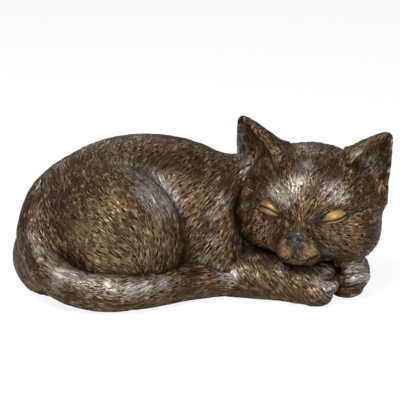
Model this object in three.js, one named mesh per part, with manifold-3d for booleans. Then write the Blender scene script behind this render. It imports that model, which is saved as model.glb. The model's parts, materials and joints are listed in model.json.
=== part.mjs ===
// A sleeping kitten, curled up with its chin on its front paws: a garden figure in cast resin.
// Units are millimetres. +X is to the viewer's right, +Y away from the viewer and +Z up.
// The origin is on the ground, under the middle of the figure.
import * as THREE from "three";
import { LoftGeometry } from "three/addons/geometries/LoftGeometry.js";
import { mergeVertices } from "three/addons/utils/BufferGeometryUtils.js";
import Module from "manifold-3d";

const wasm = await Module();
wasm.setup();

// The figure. Its forms are places and radii on the clay original, which is as large as CLAY along X, Y and Z.
const LENGTH = 295; // from the rump to the far cheek
const DEPTH = 160; // from the tail to the far haunch
const HEIGHT = 144; // from the ground to the ear tips
const CLAY = [295, 160, 144];
const STRETCH = [LENGTH, DEPTH, HEIGHT].map((size, axis) => size / CLAY[axis]);
const MEAN = Math.cbrt(STRETCH[0] * STRETCH[1] * STRETCH[2]); // for sizes that run in no one direction
const REACH = LENGTH + DEPTH + HEIGHT; // beyond the figure on every side

// Casting and assembly
const WALL = 7; // of the hollow body
const GLUE_GAP = 0.3; // between two bonded castings
const FIT = 0.3; // round a pin, a screw or a pad in its hole
const STANDOFF = 1.5; // from the ground to the castings
const PLATE_THICK = 4;
const PIN_RADIUS = 2.5;
const SCREW = { radius: 2, headRadius: 4, headHeight: 2.2, length: 16 };
const BOSS = { radius: 6.5, height: 24, web: 5, reach: 60 };
const PAD = { radius: 5, thick: 3 };
const POUR_HOLE = 7; // radius, in the back of the head

const vec = (x, y, z) => new THREE.Vector3(x, y, z);
const spot = (x, y, z = 0) => vec(x, y, z).multiply(vec(...STRETCH));
const turned = (degrees, order = "XYZ") => new THREE.Euler(...degrees.map(THREE.MathUtils.degToRad), order);
const pair = (make) => [make(-1), make(1)];

// Forms: each is a function that gives a point's distance from the surface, negative inside.
const ball = ({ at, radii, turn = [0, 0, 0] }) => {
  const centre = spot(...at);
  const back = new THREE.Quaternion().setFromEuler(turned(turn)).invert();
  const [a, b, c] = spot(...radii);
  const q = vec(0, 0, 0);
  return (p) => {
    q.copy(p).sub(centre).applyQuaternion(back);
    const near = Math.hypot(q.x / a, q.y / b, q.z / c);
    const slope = Math.hypot(q.x / (a * a), q.y / (b * b), q.z / (c * c));
    return slope < 1e-9 ? -Math.min(a, b, c) : (near * (near - 1)) / slope;
  };
};

const bone = ({ from, to, r0, r1 }) => {
  const a = spot(...from);
  const ab = spot(...to).sub(a);
  const q = vec(0, 0, 0);
  return (p) => {
    q.copy(p).sub(a);
    const t = THREE.MathUtils.clamp(q.dot(ab) / ab.lengthSq(), 0, 1);
    return q.addScaledVector(ab, -t).length() - MEAN * THREE.MathUtils.lerp(r0, r1, t);
  };
};

// The same form on the other side of the head, where side is -1
const onSide = (side, { at: [x, y, z], radii, turn: [a, b, c] = [0, 0, 0] }) =>
  ball({ at: [side * x, y, z], radii, turn: [a, side * b, side * c] });

// How far a fillet about as wide as soft moves the surface, where two forms are d and e away
const fillet = (soft, d, e) => {
  const width = soft * MEAN;
  return Math.max(width - Math.abs(d - e), 0) ** 2 / (4 * width);
};

// Joins forms as clay is joined. The softness is the same all over, or a function of the place.
const blend = (soft, ...forms) => (p) => {
  const here = typeof soft === "function" ? soft(p) : soft;
  let d = forms[0](p);
  for (const form of forms.slice(1)) {
    const e = form(p);
    d = Math.min(d, e) - fillet(here, d, e);
  }
  return d;
};

const press = (soft, form, tool) => (p) => {
  const d = form(p);
  const e = -tool(p);
  return Math.max(d, e) + fillet(soft, d, e);
};

const placed = (form, place) => {
  const inverse = place.clone().invert();
  const q = vec(0, 0, 0);
  return (p) => form(q.copy(p).applyMatrix4(inverse));
};

// Solids
function solid(geometry) {
  const bare = new THREE.BufferGeometry().copy(geometry);
  bare.deleteAttribute("normal");
  bare.deleteAttribute("uv");
  const merged = mergeVertices(bare, 1e-3);
  return new wasm.Manifold(
    new wasm.Mesh({ numProp: 3, vertProperties: merged.attributes.position.array, triVerts: merged.index.array })
  );
}

// Shrinks a faceted ball onto a form, along rays from a centre, until it lies at that level of the form.
function wrap(form, { centre, stretch, detail }, level = 0) {
  const g = new THREE.IcosahedronGeometry(1, detail);
  const points = g.getAttribute("position");
  const middle = spot(...centre);
  const ray = vec(0, 0, 0);
  const at = vec(0, 0, 0);
  for (let i = 0; i < points.count; i++) {
    ray.fromBufferAttribute(points, i).multiply(vec(...stretch)).normalize();
    let t = REACH;
    for (let k = 0; k < 90; k++) {
      const d = form(at.copy(middle).addScaledVector(ray, t)) - level;
      if (Math.abs(d) < 1e-3 || t < 1) break;
      t -= 0.8 * d;
    }
    points.setXYZ(i, at.x, at.y, at.z);
  }
  return solid(g);
}

const boxAt = (min, max) => {
  const size = vec(...max).sub(vec(...min));
  const middle = vec(...min).add(vec(...max)).multiplyScalar(0.5);
  return solid(new THREE.BoxGeometry(size.x, size.y, size.z).translate(...middle));
};

const rodFromTo = (a, b, r0, r1 = r0, segments = 12) => {
  const along = b.clone().sub(a);
  const g = new THREE.CylinderGeometry(r1, r0, along.length(), segments);
  g.applyQuaternion(new THREE.Quaternion().setFromUnitVectors(vec(0, 1, 0), along.clone().normalize()));
  return solid(g.translate(...a.clone().add(b).multiplyScalar(0.5)));
};

const joined = (solids) => solids.reduce((a, b) => a.add(b));

// Body
const torso = { at: [-44, 13, 50], radii: [94, 56, 70] };
const rump = { at: [-106, -2, 26], radii: [44, 46, 38] };
const farHaunch = { at: [-66, 32, 42], radii: [58, 44, 50] };
const haunch = { at: [-61, -28, 46], radii: [49, 44, 53] };
const upperArm = { from: [10, -6, 74], to: [12, -22, 22], r0: 20, r1: 19 };
const chest = { at: [50, 16, 38], radii: [54, 44, 44] };
const neck = { at: [50, 14, 66], radii: [42, 36, 42] };
const headHollow = { at: [88, -36, 70], radii: [65, 50, 44] };
const trunk = blend(12, ball(torso), ball(rump), ball(farHaunch));
const shoulders = blend(10, blend(16, trunk, blend(20, ball(chest), ball(neck))), bone(upperArm));

// The haunch ends in a sharp crease, which fades out towards the rump and the top.
const crease = { sharp: 3, faded: 28, sharpAt: [-28, 0, 32], fadedAt: [-72, 0, 68] };
const fade = (value, from, to) => THREE.MathUtils.smoothstep((value - from) / (to - from), 0, 1);
const creaseSoft = ({ x, z }) => {
  const [from, to] = [spot(...crease.sharpAt), spot(...crease.fadedAt)];
  return THREE.MathUtils.lerp(crease.sharp, crease.faded, fade(x, from.x, to.x) * fade(z, from.z, to.z));
};
const bodyForm = press(3, blend(creaseSoft, shoulders, ball(haunch)), ball(headHollow));
const bodyWrap = { centre: [-30, 0, 40], stretch: [1.6, 1, 0.9], detail: 12 };
const cavityWrap = { centre: [-50, 8, 40], stretch: [1.4, 1, 0.9], detail: 5 };
const CAVITY_END = 8; // the flat front end of the cavity, in X

// Head, in its own frame: x to the viewer's right, y backwards, z up
const head = { at: [84, -22, 70], turn: [8, 5.5, -12] };
const headPlace = new THREE.Matrix4()
  .makeRotationFromEuler(turned(head.turn, "ZYX"))
  .setPosition(spot(...head.at));
const skull = { at: [0, 6, 8], radii: [53.5, 45, 41] };
const cheek = { at: [31, -4, -9], radii: [25, 30, 25] };
const jowl = { at: [41, 0, -17], radii: [11.5, 18, 12] };
const jaw = { at: [0, -14, -16], radii: [30, 30, 19] };
const bridge = { from: [0, -30, 12], to: [0, -43, -8], r0: 12, r1: 8.5 };
const socket = { at: [20, -47, 6], radii: [13, 8, 9] };
const eyelid = { at: [21, -32.5, 6.5], radii: [12, 5.5, 6], turn: [0, -18, 0] };
const muzzle = { at: [6.5, -42, -18.5], radii: [11, 10.5, 9.5] };
const nose = { at: [0, -51, -9], radii: [8, 4.5, 6.5] };
const chin = { at: [0, -39, -24.5], radii: [9, 8, 6] };
const both = (form) => pair((side) => onSide(side, form));
const faceForm = blend(12, ball(skull), ...both(cheek), ...both(jowl), ball(jaw), bone(bridge));
const headForm = blend(
  3,
  press(6, faceForm, blend(2, ...both(socket))),
  ...both(eyelid),
  ...both(muzzle),
  ball(nose),
  ball(chin)
);
const headWrap = { centre: [81, -34, 64], stretch: [1, 1, 1], detail: 14 };
const headCavity = { at: [8, -2, 8], radii: [32, 27, 26] };
const headHoleWrap = { centre: [88, -20, 76], stretch: [1, 1, 1], detail: 4 };
const pour = { from: [84, -20, 72], to: [40, 12, 60] }; // from the head's cavity out through its neck face

// Ears: a hollow cone with a rolled rim, open to the front and a little outwards. The left one spreads more.
const leftEar = { side: -1, inner: [-29.5, -7, 43], outer: [-57, 10, 13], tip: [-60.2, -3, 67.8] };
const rightEar = { side: 1, inner: [28, -7, 47], outer: [54.5, 10, 13], tip: [56.5, -3, 71] };
const earSize = { depth: 17, lean: 6, wall: 6, tipHalf: 1.2, tipDepth: 1, edge: 2 };
function earSolid({ side, ...ear }) {
  const rows = 9;
  const columns = 9;
  const [inner, outer, tip] = [ear.inner, ear.outer, ear.tip].map((at) => spot(...at));
  const { depth, lean, wall, tipHalf, tipDepth, edge } = earSize;
  const foot = inner.clone().add(outer).multiplyScalar(0.5);
  const across = outer.clone().sub(inner);
  const halfFoot = across.length() / 2;
  across.normalize();
  const back = across.clone().cross(tip.clone().sub(foot)).normalize();
  if (back.y < 0) back.negate();
  const sections = [];
  for (let i = -2; i <= rows; i++) {
    const t = i / rows;
    const narrow = t < 0 ? 1 + 1.5 * t : Math.pow(1 - t, 0.8);
    const half = halfFoot * narrow + tipHalf * MEAN;
    const deep = (depth * narrow + tipDepth) * MEAN;
    const thick = Math.min(wall * MEAN, edge * MEAN + 0.16 * half);
    const mid = t < 0 ? foot.clone().lerp(spot(...skull.at), -t) : foot.clone().lerp(tip, t);
    const at = (a, offset) => {
      const normal = [-Math.cos(a) * deep, Math.sin(a) * half];
      const size = Math.hypot(...normal);
      const x = -half * Math.cos(a) - lean * MEAN * narrow * Math.sin(a) + (offset * normal[0]) / size;
      const y = deep * Math.sin(a) + (offset * normal[1]) / size;
      return mid.clone().addScaledVector(across, x).addScaledVector(back, y);
    };
    const ring = [];
    for (let j = 0; j <= columns; j++) ring.push(at((Math.PI * j) / columns, thick / 2));
    ring.push(at(Math.PI, 0).addScaledVector(back, -thick / 2));
    for (let j = columns; j >= 0; j--) ring.push(at((Math.PI * j) / columns, -Math.min(thick, half) / 2));
    ring.push(at(0, 0).addScaledVector(back, -thick / 2));
    sections.push(side < 0 ? ring : ring.reverse());
  }
  return solid(new LoftGeometry(sections, { capStart: true, capEnd: true }));
}

// Tail
const tailStations = [
  { at: [-112, 6, 84], r: 8 },
  { at: [-125, 2, 71], r: 11 },
  { at: [-129.5, -15, 57], r: 13 },
  { at: [-128.5, -31, 43], r: 14 },
  { at: [-120, -48, 30], r: 14 },
  { at: [-108, -58, 21.5], r: 14.5 },
  { at: [-91, -66, 17], r: 14.5 },
  { at: [-71, -69, 15.8], r: 14.8 },
  { at: [-44, -61, 15.8], r: 14.8 },
  { at: [-12, -41, 15], r: 14 },
  { at: [14, -31, 14.5], r: 13.5 },
  { at: [28, -31, 14], r: 12.5 },
  { at: [35, -31.5, 13.5], r: 8 },
];
const tailPath = new THREE.CatmullRomCurve3(tailStations.map(({ at }) => spot(...at)));
function tailSolid(grow = 0) {
  const rows = 36;
  const columns = 14;
  const frames = tailPath.computeFrenetFrames(rows, false);
  const sections = [];
  for (let i = 0; i <= rows; i++) {
    const t = tailPath.getUtoTmapping(i / rows);
    const mid = tailPath.getPoint(t);
    const k = t * (tailStations.length - 1);
    const n = Math.min(Math.floor(k), tailStations.length - 2);
    const r = THREE.MathUtils.lerp(tailStations[n].r, tailStations[n + 1].r, k - n) * MEAN + grow;
    const ring = [];
    for (let j = 0; j < columns; j++) {
      const a = (j / columns) * 2 * Math.PI;
      const out = frames.normals[i].clone().multiplyScalar(Math.cos(a));
      out.addScaledVector(frames.binormals[i], Math.sin(a));
      ring.push(mid.clone().addScaledVector(out, r));
    }
    sections.push(ring);
  }
  return solid(new LoftGeometry(sections, { capStart: true, capEnd: true }));
}

// Front legs
const elbow = { from: [40, -18, 26], to: [62, -32, 22], r0: 16, r1: 14 };
const forearm = { from: [22, -26, 15], to: [72, -41, 15], r0: 16.5, r1: 15 };
const nearPaw = { at: [81, -43, 15], radii: [18, 17, 16.5] };
const nearToes = [
  { at: [92, -39, 23], radii: [12, 9, 8] },
  { at: [96, -49, 16], radii: [10, 8.5, 8] },
  { at: [88, -55, 9], radii: [13, 9, 9] },
];
const nearLegForm = blend(3, blend(8, bone(elbow), bone(forearm), ball(nearPaw)), ...nearToes.map(ball));
const nearLegWrap = { centre: [74, -40, 18], stretch: [2, 1, 1], detail: 9 };
const wrist = { from: [92, 6, 18], to: [112, -14, 17], r0: 16, r1: 15 };
const farPaw = { at: [116, -22, 18], radii: [16, 17, 18] };
const farToes = [
  { at: [113, -33, 30], radii: [13, 10, 7] },
  { at: [117, -37, 18], radii: [14, 9, 8] },
  { at: [113, -34, 8], radii: [13, 10, 7] },
];
const farPawForm = blend(3, blend(5, bone(wrist), ball(farPaw)), ...farToes.map(ball));
const farPawWrap = { centre: [113, -22, 18], stretch: [1, 1.3, 1], detail: 8 };

// Pins, each from a point inside one casting towards its neighbour
const pins = {
  neck_pin_1: { from: [46, 12, 74], towards: [84, -16, 80], length: 24 },
  neck_pin_2: { from: [50, 8, 46], towards: [84, -16, 50], length: 28 },
  tail_pin_1: { from: [-62, -75, 14], towards: [-60, 0, 16], length: 28 },
  tail_pin_2: { from: [-93.5, -70, 16], towards: [-83, -38, 20], length: 28 },
  foreleg_pin_1: { from: [40, -6, 24], towards: [44, -50, 20], length: 28 },
  foreleg_pin_2: { from: [58, -8, 17], towards: [64, -60, 16], length: 28 },
  paw_pin: { from: [86, 12, 18], towards: [116, -20, 17], length: 28 },
};
const pinEnds = ({ from, towards, length }) => {
  const a = spot(...from);
  return [a, a.clone().add(spot(...towards).sub(a).setLength(length * MEAN))];
};
const pinHoles = joined(
  Object.values(pins).map((pin) => {
    const [a, b] = pinEnds(pin);
    const over = b.clone().sub(a).setLength(FIT);
    return rodFromTo(a.clone().sub(over), b.clone().add(over), PIN_RADIUS + FIT);
  })
);

// Base plate, held by four screws in four bosses
const screwSpots = [[-116, -2], [-78, 32], [-6, -3], [-6, 28]].map(([x, y]) => spot(x, y));
const padSpots = [[-62, -38], [-64, 50], [47, 32], [64, -38]].map(([x, y]) => spot(x, y));
const cavityMiddle = spot(-50, 12);
const up = (p, z) => p.clone().setZ(z);
const plateTop = STANDOFF + PLATE_THICK;
const bossFoot = plateTop + FIT;
const cavityEnd = spot(CAVITY_END, 0).x;
const below = boxAt([-REACH, -REACH, -REACH], [REACH, REACH, STANDOFF]);
const past = (x) => boxAt([x, -REACH, -REACH], [REACH, REACH, REACH]);
const cavity = wrap(trunk, cavityWrap, -WALL).subtract(past(cavityEnd));
const plateShape = wrap(trunk, cavityWrap, -WALL - FIT).subtract(past(cavityEnd - FIT));
const bosses = joined(
  screwSpots.map((p) => {
    const out = p.clone().sub(cavityMiddle);
    const web = solid(new THREE.BoxGeometry(BOSS.reach, BOSS.web, BOSS.height).translate(BOSS.reach / 2, 0, 0));
    const turn = THREE.MathUtils.radToDeg(Math.atan2(out.y, out.x));
    return rodFromTo(up(p, bossFoot), up(p, bossFoot + BOSS.height), BOSS.radius).add(
      web.rotate([0, 0, turn]).translate(p.x, p.y, bossFoot + BOSS.height / 2)
    );
  })
).intersect(wrap(trunk, cavityWrap, -WALL / 2));
const screwAt = (p, grow = 0) => {
  const headTop = up(p, STANDOFF + SCREW.headHeight);
  return rodFromTo(up(p, STANDOFF - grow), headTop, SCREW.headRadius + grow, SCREW.radius + grow).add(
    rodFromTo(up(p, STANDOFF + SCREW.headHeight / 2), up(p, STANDOFF + SCREW.length + grow), SCREW.radius + grow)
  );
};
const screwHoles = joined(screwSpots.map((p) => screwAt(p, FIT)));
const padAt = (p, grow = 0) => rodFromTo(p, up(p, PAD.thick + grow), PAD.radius + grow, PAD.radius + grow, 20);
const padHoles = joined(padSpots.map((p) => padAt(p, FIT)));

// Castings, each cut by its neighbour's form grown by the glue gap
const cut = (made) => made.subtract(below).subtract(pinHoles).subtract(padHoles);
const bodyCutter = wrap(bodyForm, bodyWrap, GLUE_GAP);
const nearLegCutter = wrap(nearLegForm, nearLegWrap, GLUE_GAP);
const farPawCutter = wrap(farPawForm, farPawWrap, GLUE_GAP);
const headRound = wrap(placed(headForm, headPlace), headWrap);
const headHole = wrap(placed(ball(headCavity), headPlace), headHoleWrap);
const pourHole = rodFromTo(spot(...pour.from), spot(...pour.to), POUR_HOLE);
const castings = {
  body_casting: wrap(bodyForm, bodyWrap).subtract(cavity).add(bosses).subtract(screwHoles),
  head_casting: joined([headRound, ...[leftEar, rightEar].map((e) => earSolid(e).transform(headPlace.elements))])
    .subtract(headHole)
    .subtract(pourHole)
    .subtract(bodyCutter)
    .subtract(nearLegCutter)
    .subtract(farPawCutter),
  tail_casting: tailSolid().subtract(bodyCutter),
  near_foreleg_casting: wrap(nearLegForm, nearLegWrap).subtract(bodyCutter).subtract(tailSolid(GLUE_GAP)),
  far_forepaw_casting: wrap(farPawForm, farPawWrap).subtract(bodyCutter).subtract(nearLegCutter),
};

// Materials
const bronze = new THREE.MeshStandardMaterial({ color: 0x5e4a36, roughness: 0.45, metalness: 0.5 });
const board = new THREE.MeshStandardMaterial({ color: 0x2b2927, roughness: 0.8 });
const steel = new THREE.MeshStandardMaterial({ color: 0x9a9ca0, roughness: 0.35, metalness: 1 });
const rubber = new THREE.MeshStandardMaterial({ color: 0x1c1c1c, roughness: 0.9 });

const cat = new THREE.Group();
cat.name = "sleeping_kitten_figure";
function place(name, made, material) {
  const { vertProperties, triVerts } = made.getMesh();
  const g = new THREE.BufferGeometry();
  g.setAttribute("position", new THREE.BufferAttribute(vertProperties, 3));
  g.setIndex(new THREE.BufferAttribute(triVerts, 1));
  g.computeVertexNormals();
  const mesh = new THREE.Mesh(g, material);
  mesh.name = name;
  cat.add(mesh);
}
const largest = (made) => made.decompose().reduce((a, b) => (b.volume() > a.volume() ? b : a));
for (const [name, made] of Object.entries(castings)) place(name, largest(cut(made)), bronze);
const plate = plateShape.intersect(boxAt([-REACH, -REACH, STANDOFF], [REACH, REACH, plateTop]));
place("base_plate", plate.subtract(screwHoles).subtract(padHoles), board);
screwSpots.forEach((p, i) => place(`base_screw_${i + 1}`, screwAt(p), steel));
padSpots.forEach((p, i) => place(`foot_pad_${i + 1}`, padAt(p), rubber));
for (const [name, pin] of Object.entries(pins)) place(name, rodFromTo(...pinEnds(pin), PIN_RADIUS), steel);
cat.position.copy(new THREE.Box3().setFromObject(cat).getCenter(vec(0, 0, 0))).setZ(0).negate();

export default cat;
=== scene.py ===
# %% [markdown]
# # A sleeping kitten in cast resin
#
# The real object is a small garden figure: five hollow castings in resin filled with bronze powder, pinned
# and glued together, over a screwed-in base board with four rubber feet. Its whole skin is combed into fur
# with a wooden tool while the clay original is soft. The paint is a dark antique bronze, wiped off the high
# places and then dry-brushed with silver and gold.
#
# The CAD model gives the size and the joints between the castings, in flat facets. This lesson takes each
# casting, lays a fine skin over it, carves the face, combs the fur and paints it, with painted highlights
# and painted shade in the paint.

# %% The frame
import json
import math

import bpy
import numpy as np
from mathutils import Euler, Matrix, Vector
from mathutils.bvhtree import BVHTree

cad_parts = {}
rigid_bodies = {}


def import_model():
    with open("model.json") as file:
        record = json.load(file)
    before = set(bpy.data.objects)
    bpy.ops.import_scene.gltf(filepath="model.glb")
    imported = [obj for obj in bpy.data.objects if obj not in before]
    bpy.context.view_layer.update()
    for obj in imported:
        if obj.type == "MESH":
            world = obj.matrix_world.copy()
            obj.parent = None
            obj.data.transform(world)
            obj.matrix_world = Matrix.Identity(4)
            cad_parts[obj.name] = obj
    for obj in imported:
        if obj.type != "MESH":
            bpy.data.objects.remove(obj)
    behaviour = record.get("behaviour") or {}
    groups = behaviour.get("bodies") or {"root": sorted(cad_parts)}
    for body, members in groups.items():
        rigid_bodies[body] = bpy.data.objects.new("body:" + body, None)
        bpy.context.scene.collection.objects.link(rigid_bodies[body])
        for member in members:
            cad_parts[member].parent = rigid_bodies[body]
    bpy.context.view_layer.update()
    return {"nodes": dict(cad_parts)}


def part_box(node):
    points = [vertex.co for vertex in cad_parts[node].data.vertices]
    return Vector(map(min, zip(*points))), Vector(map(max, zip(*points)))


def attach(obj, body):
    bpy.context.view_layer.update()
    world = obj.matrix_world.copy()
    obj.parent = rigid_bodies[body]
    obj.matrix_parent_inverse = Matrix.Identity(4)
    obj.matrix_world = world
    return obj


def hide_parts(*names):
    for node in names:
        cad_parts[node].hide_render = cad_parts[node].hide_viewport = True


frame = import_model()
nodes = frame["nodes"]

# %% [markdown]
# ## Where things are
#
# The clay original is described in millimetres, from a point on the ground near its middle. The packed
# model has its origin under the middle of its box instead. One rubber foot is enough to find the way from
# one to the other.

# %% From the clay original's millimetres to the frame
MM = 0.001
FIRST_FOOT = (-62, -38)  # its place on the clay original
foot_low, foot_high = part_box("foot_pad_1")
foot_middle = (foot_low + foot_high) / 2
SHIFT = np.array([foot_middle.x / MM - FIRST_FOOT[0], foot_middle.y / MM - FIRST_FOOT[1], 0.0])
print("the clay original's origin is at", SHIFT.round(3), "mm")

# %% [markdown]
# ## The camera
#
# The photograph was taken with a long lens, a little above the figure. The camera comes first here, because
# the fur is combed and the paint is dabbed where the photograph shows it: a ray through a pixel of the
# picture finds the place on the casting.

# %% Camera
PICTURE = 400  # pixels on each side of the photograph
LENS = 170.9
SENSOR = 36
DISTANCE = 1.5
ELEVATION = math.radians(15)
TARGET = Vector((0.0009, 0.0038, 0.0703))
camera_data = bpy.data.cameras.new("camera")
camera_data.lens = LENS
camera_data.sensor_width = SENSOR
camera_data.clip_end = 10
camera = bpy.data.objects.new("camera", camera_data)
camera.location = TARGET + DISTANCE * Vector((0, -math.cos(ELEVATION), math.sin(ELEVATION)))
camera.rotation_euler = (math.pi / 2 - ELEVATION, 0, 0)
bpy.context.scene.collection.objects.link(camera)
bpy.context.scene.camera = camera
print("camera at", [round(x, 3) for x in camera.location])

# %% [markdown]
# ## Helpers for meshes
#
# An operator works on what is selected, so each step starts by selecting one piece. The sculpting below
# moves many thousand points at once, which is done on arrays: points go out of a mesh in the clay
# original's millimetres, and back in again.

# %% Mesh helpers
WELD = 1e-6  # metres; points closer than this become one
TINY = 1e-9  # keeps a division from failing where a length is nought


def only(piece):
    """Selects one piece and makes it the active one."""
    bpy.ops.object.select_all(action="DESELECT")
    piece.select_set(True)
    bpy.context.view_layer.objects.active = piece


def new_piece(name, mesh, node):
    """A new piece that stands for a CAD node, opened for editing with everything selected."""
    piece = bpy.data.objects.new(name, mesh)
    bpy.context.scene.collection.objects.link(piece)
    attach(piece, "root")
    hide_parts(node)
    only(piece)
    bpy.ops.object.mode_set(mode="EDIT")
    bpy.ops.mesh.select_all(action="SELECT")
    return piece


def casting_copy(node, name):
    """A copy of a CAD node as a new piece, with its doubles merged."""
    mesh = nodes[node].data.copy()
    mesh.name = name
    mesh.materials.clear()
    piece = new_piece(name, mesh, node)
    bpy.ops.mesh.customdata_custom_splitnormals_clear()
    bpy.ops.mesh.remove_doubles(threshold=WELD)
    bpy.ops.object.mode_set(mode="OBJECT")
    return piece


def rows_of(items, field, width, kind=float):
    """One field of all of a mesh's points or edges, as the rows of an array."""
    flat = np.empty(len(items) * width, kind)
    items.foreach_get(field, flat)
    return flat.reshape(-1, width)


def points_of(piece, shift=SHIFT):
    """The piece's points in the clay original's millimetres, or with shift=0 in the frame's."""
    return rows_of(piece.data.vertices, "co", 3) / MM - shift


def move_points(piece, points, shift=SHIFT):
    """Puts the piece's points where an array, as points_of gives it, says."""
    piece.data.vertices.foreach_set("co", ((points + shift) * MM).ravel())
    piece.data.update()


def normals_of(piece):
    """The way out of the piece's skin at each of its points."""
    return rows_of(piece.data.vertex_normals, "vector", 3, np.float32).astype(float)


def edges_of(piece):
    """For each edge, the numbers of the points it joins."""
    return rows_of(piece.data.edges, "vertices", 2, np.int32)


def store(piece, name, values):
    """Keeps a number or a vector for each point, for the paint to read."""
    kind, field = ("FLOAT", "value") if values.ndim == 1 else ("FLOAT_VECTOR", "vector")
    attribute = piece.data.attributes.new(name, kind, "POINT")
    attribute.data.foreach_set(field, values.astype(np.float32).ravel())


def unit(vectors):
    """The vectors' ways, each with a length of 1."""
    return vectors / np.maximum(np.linalg.norm(vectors, axis=-1, keepdims=True), TINY)


def squares(p, q):
    """The squared distance from each point of p to each point of q."""
    return np.maximum((p**2).sum(1)[:, None] + (q**2).sum(1) - 2 * p @ q.T, 0)


def with_ends(at):
    """A row of points with one more before it and after it, in line with its ends."""
    return np.concatenate([[2 * at[0] - at[1]], at, [2 * at[-1] - at[-2]]])


def ramp(values, low, high):
    """0 below low, 1 above high, and a smooth step between."""
    t = np.clip((values - low) / (high - low), 0, 1)
    return t * t * (3 - 2 * t)


# %% [markdown]
# ## The forms
#
# The clay original is a set of round forms pressed together. Each form is a function that gives a point's
# distance from its surface, negative inside. Two forms are joined with a fillet, as a thumb would smooth
# clay, and a tool pressed into a form leaves a hollow. The CAD model has the same forms, cut into facets,
# so the fine skin can be laid exactly on them.

# %% Distance to a form
def ball(at, radii, turn=(0, 0, 0)):
    """An egg shape: its middle, its three radii, and how it is turned, in degrees."""
    spin = np.array(Euler([math.radians(a) for a in turn]).to_matrix())
    middle, radii = np.array(at, float), np.array(radii, float)

    def distance(p):
        q = (p - middle) @ spin
        near = np.linalg.norm(q / radii, axis=1)
        slope = np.linalg.norm(q / radii**2, axis=1)
        return near * (near - 1) / np.maximum(slope, TINY)

    return distance


def bone(start, end, r0, r1):
    """A rod with round ends, as thick as r0 at its start and r1 at its end."""
    a, ab = np.array(start, float), np.array(end, float) - np.array(start, float)

    def distance(p):
        t = np.clip((p - a) @ ab / (ab @ ab), 0, 1)
        return np.linalg.norm(p - a - t[:, None] * ab, axis=1) - (r0 + (r1 - r0) * t)

    return distance


def fillet(soft, d, e):
    """What a fillet of this softness adds where the distances to two forms are d and e."""
    return np.maximum(soft - np.abs(d - e), 0) ** 2 / (4 * soft)


def blend(soft, *forms):
    """Forms joined with a fillet. The softness is a number, or a function of the place."""

    def distance(p):
        here = soft(p) if callable(soft) else soft
        d = forms[0](p)
        for form in forms[1:]:
            e = form(p)
            d = np.minimum(d, e) - fillet(here, d, e)
        return d

    return distance


def press(soft, form, tool):
    """A form with the hollow that a tool leaves, its edge rounded."""
    def distance(p):
        d, e = form(p), -tool(p)
        return np.maximum(d, e) + fillet(soft, d, e)

    return distance


def placed(form, at, spin):
    """A form moved from its own frame to a place on the figure."""
    return lambda p: form((p - at) @ spin)


def both(make):
    """The same form on the left and on the right of the head."""
    return [make(-1), make(1)]


# %% [markdown]
# ## Laying a fine skin
#
# A voxel remesh turns the facets into small even squares. Each point near the form is then moved onto it
# along the steepest way, and a few rounds of smoothing with the same move after them spread the points
# evenly. Points on the flat underside, in the hollow and in the pin holes lie far from the form and stay
# where they are.

# %% Remesh and settle
GROUND = 1.5  # height of the castings' flat underside, in mm
RIM = 0.3  # points this little off the underside, or off a form, belong to it
UNDER = 0.8  # the underside's points this deep inside the form aren't on its skin
LEAST_SLOPE = 0.3  # keeps a step short where a form is nearly level
EVEN_SHARE = 0.6  # how much of the way to its neighbours' middle a point goes in one round


def remesh(piece, size):
    """Turns a piece's facets into even squares, size in millimetres."""
    only(piece)
    piece.data.remesh_voxel_size = size * MM
    piece.data.remesh_voxel_adaptivity = 0
    bpy.ops.object.voxel_remesh()


def slope_of(form, p, step=0.05):
    """The way out of a form in which the distance grows fastest, and how fast it grows."""
    slope = np.empty_like(p)
    for axis in range(3):
        d = np.zeros(3)
        d[axis] = step
        slope[:, axis] = (form(p + d) - form(p - d)) / (2 * step)
    return slope


def settle(form, p, level=0.0, times=3):
    """Moves points onto a form, or to a level above it."""
    for _ in range(times):
        slope = slope_of(form, p)
        p = p - ((form(p) - level) / np.maximum((slope**2).sum(1), LEAST_SLOPE))[:, None] * slope
    return p


def neighbour_mean(values, edges, count):
    """The mean of each point's neighbours along the edges. count is how many neighbours it has."""
    ends, others = edges.ravel(), edges[:, ::-1].ravel()
    total = [np.bincount(ends, weights=column, minlength=len(values)) for column in values[others].T]
    return np.stack(total, 1) / count[:, None]


def lay_skin(piece, form, reach=2.0, rounds=3, cast=None):
    """Settles the piece's outer points on a form and evens them out. Returns which points these are.

    cast is the form as it was cast, where it differs from the form to settle on."""
    p, edges = points_of(piece), edges_of(piece)
    count = np.maximum(np.bincount(edges.ravel(), minlength=len(p)), 1)
    flat = p[:, 2] < GROUND + RIM
    off = (cast or form)(p)
    skin = (np.abs(off) < reach) & ~(flat & (off < -UNDER))
    p[skin] = settle(form, p[skin])
    for _ in range(rounds):
        even = neighbour_mean(p, edges, count)
        p[skin] += EVEN_SHARE * (even - p)[skin]
        p[skin] = settle(form, p[skin], times=1)
        p[flat & skin, 2] = GROUND
    p[:, 2] = np.maximum(p[:, 2], GROUND)
    move_points(piece, p)
    return skin


def keep_off(piece, form, gap):
    """Moves points that lie inside a neighbour's form out to a gap above it."""
    p = points_of(piece)
    inside = form(p) < gap
    p[inside] = settle(form, p[inside], gap, times=4)
    p[:, 2] = np.maximum(p[:, 2], GROUND)
    move_points(piece, p)


# %% [markdown]
# ## Combing
#
# The fur is drawn with a comb, so it runs in flowing lines that turn slowly over the body. A few strokes,
# read off the photograph from pixel to pixel, say which way it runs, and every other point takes the way of
# the strokes near it. The far side is combed as the mirror image of the near side.
#
# A stroke's groove is the mean of a fine speckle along the comb's way: across the way it stays rough, along
# the way it is smooth, which is what a comb leaves in clay.

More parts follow.
